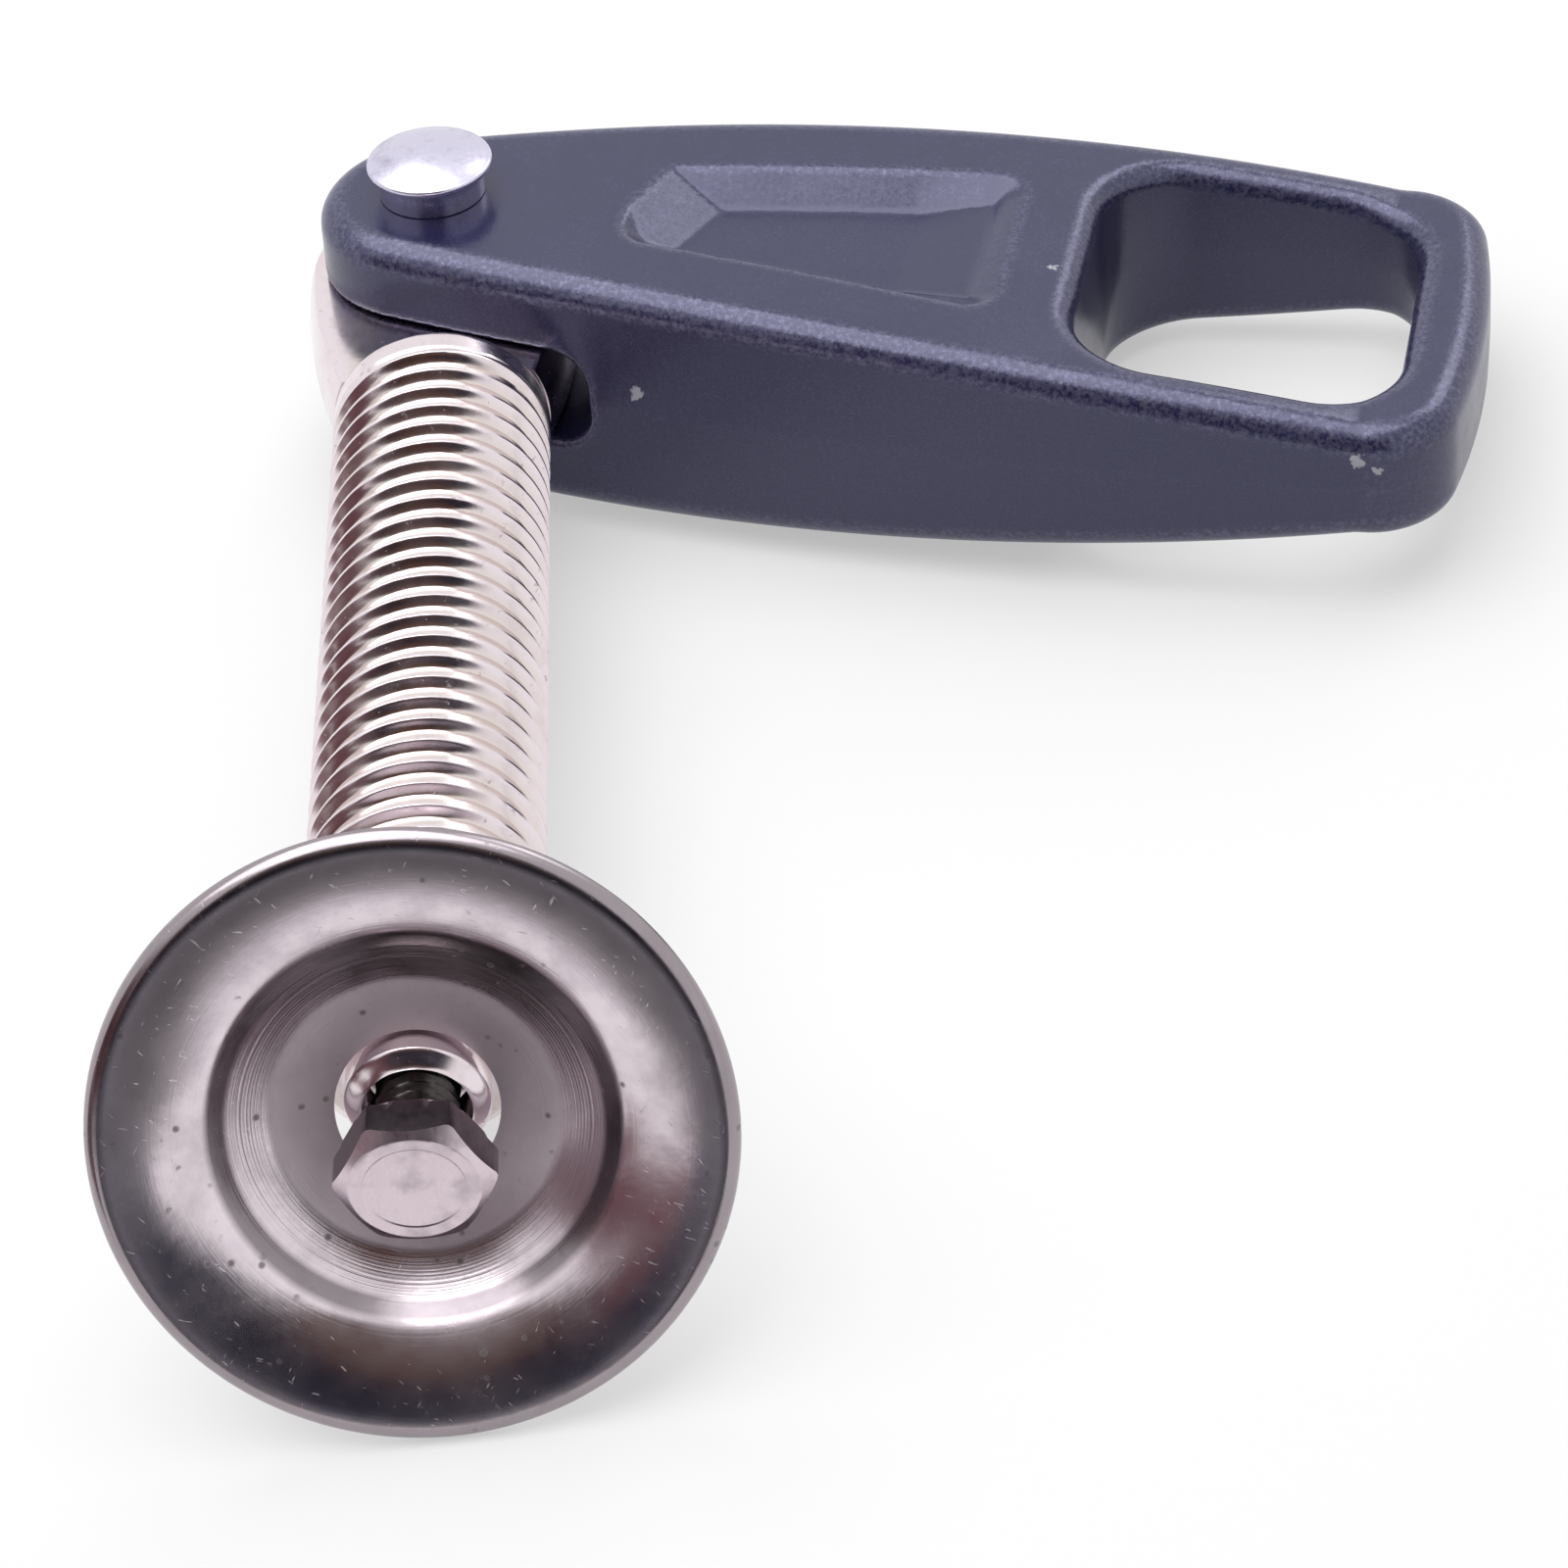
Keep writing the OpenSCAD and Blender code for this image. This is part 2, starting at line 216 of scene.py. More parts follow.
@dataclass
class IsoSkin:
    """A skin found where a field of signed distance is zero."""

    field: Field
    low: Spot
    high: Spot
    cell: float = 0.4
    pulls: int = 3

    def slope(self, points: np.ndarray, step: float = 0.02) -> np.ndarray:
        """Gradient of the field at some points."""
        out = np.empty_like(points)
        for axis in range(3):
            ahead, behind = points.copy(), points.copy()
            ahead[:, axis] += step
            behind[:, axis] -= step
            out[:, axis] = (self.field(*ahead.T) - self.field(*behind.T)) / (2 * step)
        return out

    def bend(self, points: np.ndarray, step: float = 0.45) -> np.ndarray:
        """Sum of the second differences, positive over outer edges."""
        total = -6 * self.field(*points.T)
        for axis in range(3):
            for side in (-step, step):
                moved = points.copy()
                moved[:, axis] += side
                total = total + self.field(*moved.T)
        return total / step ** 2

    def skin(self) -> Tuple[np.ndarray, list]:
        """Finds the skin by surface nets, then pulls each point onto the zero surface.

        Returns:
            Points and quad faces.
        """
        axes = [np.arange(a, b + self.cell, self.cell) for a, b in zip(self.low, self.high)]
        value = self.field(*np.meshgrid(*axes, indexing="ij"))
        inside = value < 0
        shape = tuple(n - 1 for n in value.shape)
        total = np.zeros(shape + (3,))
        hits = np.zeros(shape)
        quads = []
        for axis in range(3):
            here = [slice(None)] * 3
            there = [slice(None)] * 3
            here[axis], there[axis] = slice(None, -1), slice(1, None)
            a, b = value[tuple(here)], value[tuple(there)]
            cross = inside[tuple(here)] != inside[tuple(there)]
            where = np.argwhere(cross)
            part = a[cross] / (a[cross] - b[cross])
            spot = np.stack([axes[k][where[:, k]] for k in range(3)], axis=1)
            spot[:, axis] += part * self.cell
            one, two = [k for k in range(3) if k != axis]
            corners = []
            for i, j in ((-1, -1), (0, -1), (0, 0), (-1, 0)):
                index = where.copy()
                index[:, one] += i
                index[:, two] += j
                corners.append(index)
                np.add.at(total, tuple(index.T), spot)
                np.add.at(hits, tuple(index.T), 1)
            quads.append(np.stack(corners, axis=1))
        number = np.full(shape, -1)
        filled = hits > 0
        number[filled] = np.arange(int(filled.sum()))
        points = total[filled] / hits[filled][:, None]
        faces = np.vstack([number[tuple(np.moveaxis(q, -1, 0))] for q in quads])
        for _ in range(self.pulls):
            slope = self.slope(points)
            size = np.maximum((slope ** 2).sum(axis=1), 0.05)
            move = slope * (self.field(*points.T) / size)[:, None]
            points = points - np.clip(move, -self.cell, self.cell)
        return points, faces.tolist()


# Finishes

def solid(colour: Colour) -> Tuple[float, float, float, float]:
    """A colour with full cover."""
    return (*colour, 1.0)


class NodeGraph:
    """Short calls for wiring one node tree."""

    def __init__(self, tree: bpy.types.NodeTree) -> None:
        """Clears a tree and keeps it."""
        self.tree = tree
        tree.nodes.clear()

    @classmethod
    def material(cls, name: str) -> Tuple[bpy.types.Material, "NodeGraph"]:
        """Makes a new material and the graph of its nodes."""
        material = bpy.data.materials.new(name)
        material.use_nodes = True
        return material, cls(material.node_tree)

    def add(self, kind: str, inputs: Optional[dict] = None, **settings: object) -> bpy.types.Node:
        """Adds a node.

        Args:
            kind: The node's type name.
            inputs: Socket name or number to a link's source or a constant.
            settings: Properties of the node itself.

        Returns:
            The new node.
        """
        node = self.tree.nodes.new(kind)
        for key, setting in settings.items():
            setattr(node, key, setting)
        for key, given in (inputs or {}).items():
            if isinstance(given, Socket):
                self.tree.links.new(given, node.inputs[key])
            else:
                node.inputs[key].default_value = given
        return node

    def place(self) -> Socket:
        """The piece's own coordinates, in metres."""
        return self.read("local", "Vector")

    def read(self, name: str, kind: str = "Fac") -> Socket:
        """A value that is stored on the piece's points."""
        return self.add("ShaderNodeAttribute", attribute_name=name).outputs[kind]

    def stretch(self, spot: Socket, scale: Colour, turn: Colour = (0, 0, 0)) -> Socket:
        """Turns coordinates, then scales them by a different factor on each axis."""
        turned = self.add("ShaderNodeMapping", {"Vector": spot, "Rotation": turn}).outputs["Vector"]
        return self.add("ShaderNodeMapping", {"Vector": turned, "Scale": scale}).outputs["Vector"]

    def noise(self, spot: Socket, scale: float, detail: float = 2.0,
              rough: float = 0.5) -> Socket:
        """A cloudy pattern from 0 to 1."""
        node = self.add("ShaderNodeTexNoise", {"Vector": spot, "Scale": scale, "Detail": detail,
                                               "Roughness": rough})
        return node.outputs["Fac"]

    def span(self, value: Socket, start: float, stop: float, low: float = 0.0,
             high: float = 1.0) -> Socket:
        """Maps start..stop to low..high, held at both ends."""
        node = self.add("ShaderNodeMapRange", {"Value": value, "From Min": start, "From Max": stop,
                                               "To Min": low, "To Max": high})
        return node.outputs["Result"]

    def maths(self, kind: str, *terms: object) -> Socket:
        """One arithmetic step on links or constants."""
        return self.add("ShaderNodeMath", dict(enumerate(terms)), operation=kind).outputs[0]

    def times(self, one: object, two: object) -> Socket:
        """The product of two terms."""
        return self.maths("MULTIPLY", one, two)

    def plus(self, one: object, two: object) -> Socket:
        """The sum of two terms."""
        return self.maths("ADD", one, two)

    def most(self, one: object, two: object) -> Socket:
        """The larger of two terms."""
        return self.maths("MAXIMUM", one, two)

    def mix(self, share: Socket, low: object, high: object) -> Socket:
        """Mixes two colours by a share."""
        ends = [solid(end) if isinstance(end, tuple) else end for end in (low, high)]
        return self.add("ShaderNodeMix", {0: share, 6: ends[0], 7: ends[1]}, data_type="RGBA").outputs[2]

    def bump(self, height: Socket, strength: float, depth: float,
             normal: Optional[Socket] = None) -> Socket:
        """Turns a height into a bent normal."""
        inputs = {"Height": height, "Strength": strength, "Distance": depth}
        if normal is not None:
            inputs["Normal"] = normal
        return self.add("ShaderNodeBump", inputs).outputs["Normal"]

    def radius(self, spot: Socket, axes: Tuple[int, int] = (0, 1)) -> Socket:
        """Distance from the piece's own axis."""
        parts = self.add("ShaderNodeSeparateXYZ", {0: spot}).outputs
        a, b = (self.times(parts[k], parts[k]) for k in axes)
        return self.maths("SQRT", self.plus(a, b))

    def surface(self, **inputs: object) -> None:
        """Ends the graph with a principled surface."""
        named = {key.replace("_", " "): given for key, given in inputs.items()}
        shader = self.add("ShaderNodeBsdfPrincipled", named)
        self.add("ShaderNodeOutputMaterial", {"Surface": shader.outputs[0]})


@dataclass(frozen=True)
class PlatedFinish:
    """Bright turned plating with fine tool lines, nicks, a faint stain, and painted shade in the thread roots.
    """

    name: str = "bright_plating"
    tint: Colour = (0.80, 0.715, 0.75)
    stain: Colour = (0.64, 0.53, 0.50)
    # Painted shade: a darker, warmer plating colour for the thread roots, standing in for the shade in the
    # grooves, and the radii where it fades in.
    root_shade: Colour = (0.74, 0.66, 0.63)
    root_shade_r: Tuple[float, float] = (0.00814, 0.0086)
    pit: Colour = (0.30, 0.27, 0.27)
    rough_low: float = 0.10
    rough_high: float = 0.24
    lines_per_m: float = 7000.0
    line_depth: float = 0.000012

    def material(self) -> bpy.types.Material:
        """Builds the material."""
        material, g = NodeGraph.material(self.name)
        spot = g.place()
        cloud = g.noise(spot, 260.0, 4.0, 0.6)
        lines = g.noise(g.stretch(spot, (60.0, self.lines_per_m, 60.0)), 1.0, 3.0, 0.65)
        nicks = g.noise(spot, 1500.0, 2.0, 0.6)
        pits = g.span(nicks, 0.66, 0.74)
        colour = g.mix(g.span(cloud, 0.50, 0.74, 0.0, 0.55), self.tint, self.stain)
        radius = g.radius(spot, (0, 2))
        # Painted shade: the thread roots, below the crest radius and outside the nose, take the darker root
        # colour.
        deep = g.times(g.span(radius, *self.root_shade_r, 0.9, 0.0), g.span(radius, 0.0060, 0.0066))
        colour = g.mix(deep, colour, self.root_shade)
        colour = g.mix(g.times(pits, 0.5), colour, self.pit)
        rough = g.plus(g.span(cloud, 0.3, 0.7, self.rough_low, self.rough_high), g.times(pits, 0.15))
        normal = g.bump(lines, 0.10, self.line_depth)
        normal = g.bump(nicks, 0.07, 0.00004, normal)
        g.surface(Base_Color=colour, Metallic=1.0, Roughness=rough, Normal=normal)
        return material


@dataclass(frozen=True)
class PressedFinish:
    """Pressed steel with turned rings, handling scratches and dark specks, plus painted shade on the ring past
    the step and a painted dark reflection on the front rim.
    """

    name: str = "pressed_steel"
    tint: Colour = (0.76, 0.675, 0.725)
    shade: Colour = (0.56, 0.495, 0.535)
    rough_low: float = 0.15
    rough_high: float = 0.28
    ring_from: float = 0.0085
    ring_to: float = 0.0130
    # Painted shade: a dark colour for the ring just past the step, standing in for the shadow there, and the
    # radii of that ring.
    painted_shade_colour: Colour = (0.21, 0.183, 0.198)
    painted_shade_from: float = 0.0130
    painted_shade_to: float = 0.0143
    # Start of the outer rim band, which is darkened with the same colour as a painted dark reflection.
    rim_from: float = 0.0210
    scratch_from: float = 0.0155
    scratch: Colour = (0.86, 0.80, 0.83)
    speck: Colour = (0.09, 0.075, 0.07)
    disc_edge: Tuple[float, float] = (0.0098, 0.0104)
    disc_rough: float = 0.32

    def material(self) -> bpy.types.Material:
        """Builds the material."""
        material, g = NodeGraph.material(self.name)
        spot = g.place()
        radius = g.radius(spot)
        cloud = g.noise(spot, 190.0, 4.0, 0.62)
        rings = g.add("ShaderNodeTexNoise", {"W": radius, "Scale": 6000.0, "Detail": 3.0},
                      noise_dimensions="1D").outputs["Fac"]
        inner = g.span(radius, self.ring_from - 0.0003, self.ring_from + 0.0003)
        outer = g.span(radius, self.ring_to - 0.0003, self.ring_to + 0.0003, 1.0, 0.0)
        turned = g.times(inner, outer)
        rim = g.span(radius, self.scratch_from, self.scratch_from + 0.002, 0.25, 1.0)
        marks = []
        for turn, scale in ((0.5, (5200.0, 780.0, 900.0)), (-0.7, (4300.0, 640.0, 900.0)),
                            (1.9, (4700.0, 700.0, 900.0))):
            streak = g.noise(g.stretch(spot, scale, (0.0, 0.0, turn)), 1.0, 1.0)
            marks.append(g.span(streak, 0.74, 0.80))
        scratch = g.times(g.most(marks[0], g.most(marks[1], marks[2])), rim)
        grit = g.add("ShaderNodeTexVoronoi", {"Vector": spot, "Scale": 620.0})
        chosen = g.span(g.noise(spot, 330.0, 2.0), 0.52, 0.60)
        speck = g.times(g.span(grit.outputs["Distance"], 0.10, 0.20, 1.0, 0.0), chosen)
        colour = g.mix(g.span(cloud, 0.42, 0.72, 0.0, 0.8), self.tint, self.shade)
        colour = g.mix(g.times(scratch, 0.4), colour, self.scratch)
        colour = g.mix(g.times(speck, 0.7), colour, self.speck)
        # Painted shade on the ring past the step and a painted dark reflection on the outer rim band, on the
        # front face only.
        painted_shade_band = g.times(g.span(radius, self.painted_shade_from - 0.0002, self.painted_shade_from + 0.0002),
                       g.span(radius, self.painted_shade_to - 0.0003, self.painted_shade_to + 0.0002, 1.0, 0.0))
        edge_tone = g.span(radius, self.rim_from - 0.0002, self.rim_from + 0.0003, 0.0, 0.75)
        front = g.read("front")
        painted_shade_mask = g.times(g.most(g.times(painted_shade_band, 0.85), edge_tone), front)
        colour = g.mix(painted_shade_mask, colour, self.painted_shade_colour)
        rough = g.plus(g.span(cloud, 0.3, 0.7, self.rough_low, self.rough_high),
                       g.times(g.most(scratch, speck), 0.18))
        rough = g.plus(rough, g.span(radius, *self.disc_edge, self.disc_rough, 0.0))
        height = g.times(rings, g.plus(g.times(turned, 0.85), 0.15))
        normal = g.bump(height, 0.55, 0.00003)
        normal = g.bump(g.maths("SUBTRACT", g.noise(spot, 900.0, 3.0), scratch), 0.22, 0.00004, normal)
        g.surface(Base_Color=colour, Metallic=1.0, Roughness=rough, Normal=normal)
        return material


@dataclass(frozen=True)
class SatinFinish:
    """Satin cold-headed steel with a soft brushed face."""

    name: str = "satin_steel"
    tint: Colour = (0.70, 0.595, 0.65)
    shade: Colour = (0.46, 0.39, 0.42)
    rough_low: float = 0.22
    rough_high: float = 0.38
    brush: Colour = (2600.0, 2600.0, 300.0)

    def material(self) -> bpy.types.Material:
        """Builds the material."""
        material, g = NodeGraph.material(self.name)
        spot = g.place()
        cloud = g.noise(spot, 420.0, 4.0, 0.6)
        grain = g.noise(g.stretch(spot, self.brush), 1.0, 3.0, 0.6)
        smudge = g.span(cloud, 0.50, 0.70)
        colour = g.mix(g.times(smudge, 0.75), self.tint, self.shade)
        rough = g.span(g.plus(g.times(cloud, 0.6), g.times(grain, 0.4)),
                       0.3, 0.7, self.rough_low, self.rough_high)
        normal = g.bump(grain, 0.25, 0.00003)
        normal = g.bump(cloud, 0.15, 0.00010, normal)
        g.surface(Base_Color=colour, Metallic=1.0, Roughness=rough, Normal=normal)
        return material


@dataclass(frozen=True)
class FlakePaintFinish:
    """Dark metallic paint over a casting, with flakes, small chips, and lighter rubbed edges that are partly
    real wear and partly a painted highlight.
    """

    name: str = "flake_paint"
    tint: Colour = (0.0105, 0.0107, 0.043)
    glow: Colour = (0.028, 0.0285, 0.080)
    sheen: Colour = (0.76, 0.76, 1.0)
    # Lighter colour of the rubbed edges: partly paint wear, partly a painted highlight along the fillets and
    # the pocket's brim.
    edge_tone: Colour = (0.34, 0.33, 0.46)
    bare: Colour = (0.42, 0.42, 0.46)
    rough: float = 0.23
    gloss: float = 0.88
    flakes_per_m: float = 7600.0
    chips: Chips = ()

    def material(self) -> bpy.types.Material:
        """Builds the material."""
        material, g = NodeGraph.material(self.name)
        spot = g.place()
        edge = g.read("edge")
        flakes = g.add("ShaderNodeTexVoronoi", {"Vector": spot, "Scale": self.flakes_per_m})
        pick = g.add("ShaderNodeSeparateColor", {0: flakes.outputs["Color"]}).outputs
        cloud = g.noise(spot, 130.0, 4.0, 0.6)
        peel = g.noise(spot, 1300.0, 2.0, 0.55)
        bright = g.span(pick[0], 0.72, 1.0)
        colour = g.mix(g.times(bright, g.span(cloud, 0.3, 0.7, 0.4, 1.0)), self.tint, self.glow)
        # Mask of the lighter edge colour: real edge wear, and a painted highlight on the fillets and the
        # pocket's brim.
        wear_and_sheen = g.times(edge, g.span(g.noise(spot, 2400.0, 2.0, 0.7), 0.40, 0.72))
        colour = g.mix(g.times(wear_and_sheen, 0.32), colour, self.edge_tone)
        wobble = g.times(g.maths("SUBTRACT", g.noise(spot, 1900.0, 3.0), 0.5), 0.0016)
        hit = None
        for x, y, z, size in self.chips:
            gap = g.add("ShaderNodeVectorMath", {0: spot, 1: (x * MM, y * MM, z * MM)}, operation="DISTANCE")
            gap = g.plus(gap.outputs["Value"], wobble)
            one = g.span(gap, size * MM * 0.7, size * MM, 1.0, 0.0)
            hit = one if hit is None else g.most(hit, one)
        if hit is not None:
            colour = g.mix(g.times(hit, 0.8), colour, self.bare)
        tilt = g.add("ShaderNodeVectorMath", {0: flakes.outputs["Color"], 1: (0.5, 0.5, 0.5)},
                     operation="SUBTRACT").outputs[0]
        amount = g.plus(g.times(edge, 0.05), 0.035)
        tilt = g.add("ShaderNodeVectorMath", {0: tilt, "Scale": amount}, operation="SCALE").outputs[0]
        plain = g.bump(peel, 0.10, 0.00012)
        bent = g.add("ShaderNodeVectorMath", {0: plain, 1: tilt}, operation="ADD").outputs[0]
        bent = g.add("ShaderNodeVectorMath", {0: bent}, operation="NORMALIZE").outputs[0]
        metal = g.times(wear_and_sheen, 0.5)
        rough = g.span(cloud, 0.3, 0.7, self.rough - 0.04, self.rough + 0.06)
        g.surface(Base_Color=colour, Metallic=metal, Roughness=rough, Normal=bent,
                  Specular_IOR_Level=self.gloss, Specular_Tint=solid(self.sheen))
        return material


# Pieces

def round_cut(a: np.ndarray, b: np.ndarray, radius: float) -> np.ndarray:
    """Keeps what two fields share, with the edge between them rounded."""
    corner = np.hypot(np.maximum(a + radius, 0), np.maximum(b + radius, 0))
    return np.minimum(np.maximum(a, b), -radius) + corner


@dataclass
class ScrewSpindle:
    """The clamp screw: eye, flats, collar, thread, shoulder and nose. Sizes in millimetres."""

    thread_r: float = 8.8
    shoulder_s: float = 95.0
    shoulder_chamfer: float = 1.4
    eye_r: float = 11.4
    flat_half: float = 4.2
    flat_end: float = 17.0
    collar_end: float = 19.5
    collar_round: float = 0.9
    nose_r: float = 5.1
    nose_end: float = 100.5
    nose_cone: float = 99.6
    hole_r: float = 2.98
    recess_r: float = 3.8
    recess_s: float = 96.5
    pitch: float = 2.5
    depth: float = 0.73
    crest: float = 0.12
    flank: float = 0.19
    flank_bow: float = 1.15
    crest_drop: float = 0.02
    run_in: float = 1.2
    run_out: float = 0.9
    hole_end: float = 86.0
    hand: ThreadHand = ThreadHand.RIGHT
    phases: Tuple[float, ...] = (-0.06, -0.045, 0.045, 0.06, 0.085, 0.12, 0.155, 0.19, 0.22, 0.25, 0.32, 0.50,
                                 0.68, 0.75, 0.78, 0.81, 0.845, 0.88, 0.915)
    lines_a: int = 10
    lines_b: int = 14

    def angles(self, corner: float) -> np.ndarray:
        """Angles round one ring, closer together by the corner of the flats.

        Args:
            corner: Angle of the corner of the flat, in radians.

        Returns:
            All angles of the ring.
        """
        a = corner * (1 - (1 - np.arange(self.lines_a) / self.lines_a) ** 1.7)
        b = corner + (math.pi / 2 - corner) * (np.arange(self.lines_b) / self.lines_b) ** 1.7
        half = np.concatenate([a, b])
        half = np.concatenate([half, [math.pi / 2], math.pi - half[:0:-1]])
        return np.concatenate([half, half + math.pi])

    def round_at(self, s: float) -> float:
        """Radius of the eye and neck before the flats are cut."""
        if s <= 0:
            return math.sqrt(max(self.eye_r ** 2 - s ** 2, 0.01))
        drop = self.eye_r - self.thread_r
        neck = (self.flat_end ** 2 + drop ** 2) / (2 * drop)
        return self.eye_r - neck + math.sqrt(neck ** 2 - s ** 2)

    def ring(self, s: float, radius: float, flats: bool = False) -> np.ndarray:
        """One ring of points across the screw.

        Args:
            s: Distance from the pivot toward the pad.
            radius: Radius of the ring.
            flats: True cuts the two flats.

        Returns:
            Points of the ring.
        """
        full = math.asin(min(self.flat_half / self.thread_r, 0.997))
        corner = math.asin(min(self.flat_half / radius, 0.997)) if flats else full
        angle = self.angles(corner)
        reach = np.full(len(angle), radius)
        if flats:
            flat = self.flat_half / np.maximum(np.abs(np.sin(angle)), 1e-6)
            reach = (reach ** -70.0 + flat ** -70.0) ** (-1 / 70.0)
        return np.stack([reach * np.cos(angle), np.full(len(angle), -s), reach * np.sin(angle)], axis=1)

    def cut(self, phase: float, s: np.ndarray) -> np.ndarray:
        """Depth of the thread on one row.

        Args:
            phase: Share of the pitch from the middle of the crest.
            s: Distances from the pivot along the row.

        Returns:
            How far the surface lies below the crest.
        """
        part = abs(phase - round(phase))
        run = min(max((part - self.crest / 2) / self.flank, 0.0), 1.0)
        edge = self.crest_drop if self.crest / 2 - 0.001 < part < self.crest / 2 + 0.001 else 0.0
        fade = np.clip((s - self.collar_end) / self.run_in, 0, 1)
        fade = fade * np.clip((self.shoulder_s - s) / self.run_out, 0, 1)
        return fade * max(edge, self.depth * (1 - (1 - run) ** self.flank_bow))

    def thread(self) -> list:
        """Rows that wind along the helix, held between the collar and the shoulder."""
        base = self.ring(0.0, self.thread_r)
        angle = np.mod(np.arctan2(base[:, 2], base[:, 0]), 2 * math.pi)
        turns = math.ceil((self.shoulder_s - self.collar_end) / self.pitch) + 1
        rows = []
        for turn in range(-1, turns):
            for phase in self.phases:
                s = self.collar_end + self.pitch * (turn + phase - self.phases[0])
                s = s + self.hand.value * self.pitch * angle / (2 * math.pi)
                s = np.clip(s, self.collar_end, self.shoulder_s)
                bevel = np.maximum(0.0, s - (self.shoulder_s - self.shoulder_chamfer))
                reach = np.minimum(self.thread_r - self.cut(phase, s), self.thread_r - bevel)
                rows.append(np.stack([reach * np.cos(angle), -s, reach * np.sin(angle)], axis=1))
        return rows

    def rows(self) -> Tuple[np.ndarray, int, int]:
        """All rings from the eye to the tapped hole, and the first and last row of the thread."""
        rings = []
        for turn in np.linspace(0.06, math.pi / 2, 30):
            s = -self.eye_r * math.cos(turn)
            rings.append(self.ring(s, self.round_at(s), True))
        for s in np.linspace(0, self.flat_end, 26)[1:]:
            rings.append(self.ring(s, self.round_at(s), True))
        for turn in np.linspace(0, math.pi / 2, 6):
            back = self.collar_round * (1 - math.sin(turn))
            rise = self.collar_round * (1 - math.cos(turn))
            rings.append(self.ring(self.flat_end + 0.02 + rise, self.thread_r - back))
        for s in np.linspace(self.flat_end + self.collar_round + 0.2, self.collar_end - 0.2, 6):
            rings.append(self.ring(s, self.thread_r))
        first = len(rings)
        rings += self.thread()
        last = len(rings) - 1
        end_r = self.thread_r - self.shoulder_chamfer
        profile = [(self.shoulder_s, end_r), (self.shoulder_s + 0.03, end_r - 0.12)]
        profile += [(self.shoulder_s + 0.05, r) for r in np.linspace(end_r - 0.3, self.nose_r + 0.35, 4)]
        profile += [(self.shoulder_s + 0.12, self.nose_r + 0.12), (self.shoulder_s + 0.3, self.nose_r)]
        profile += [(s, self.nose_r) for s in np.linspace(self.shoulder_s + 0.8, self.nose_cone, 5)]
        for share, drop in ((0.12, 0.05), (0.25, 0.17), (0.45, 0.42), (0.65, 0.66), (0.85, 0.88), (1.0, 1.0)):
            profile.append((self.nose_cone + share * (self.nose_end - 0.1 - self.nose_cone),
                            self.nose_r + drop * (self.recess_r + 0.12 - self.nose_r)))
        profile.append((self.nose_end, self.recess_r + 0.05))
        profile += [(self.nose_end - 0.12, self.recess_r), (self.nose_end - 0.5, self.recess_r - 0.05)]
        profile += [(s, self.recess_r - 0.1) for s in np.linspace(self.nose_end - 1, self.recess_s, 5)]
        profile += [(self.recess_s - 0.3, self.hole_r + 0.1)]
        profile += [(s, self.hole_r) for s in np.linspace(self.recess_s - 0.6, self.hole_end, 8)]
        rings += [self.ring(s, r) for s, r in profile]
        return np.array(rings), first, last

    def build(self, axes: ScrewAxes) -> Piece:
        """Makes, places and dresses the screw."""
        rows, first, last = self.rows()
        points, faces = MeshMaker.rings(rows)
        lines, ahead = rows.shape[1], len(self.phases)
        for row in range(first, last):
            one, two = min(row + ahead, last), min(row + 1 + ahead, last)
            seam = (row + 1) * lines - 1
            faces[seam] = [seam, one * lines, two * lines, seam + lines]
        piece = MeshMaker.place("screw_spindle", points, faces, axes.to_row, 27.0, weld=True)
        piece.data.materials.append(PlatedFinish().material())
        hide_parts("clamp_screw")
        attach(piece, "screw")
        return piece


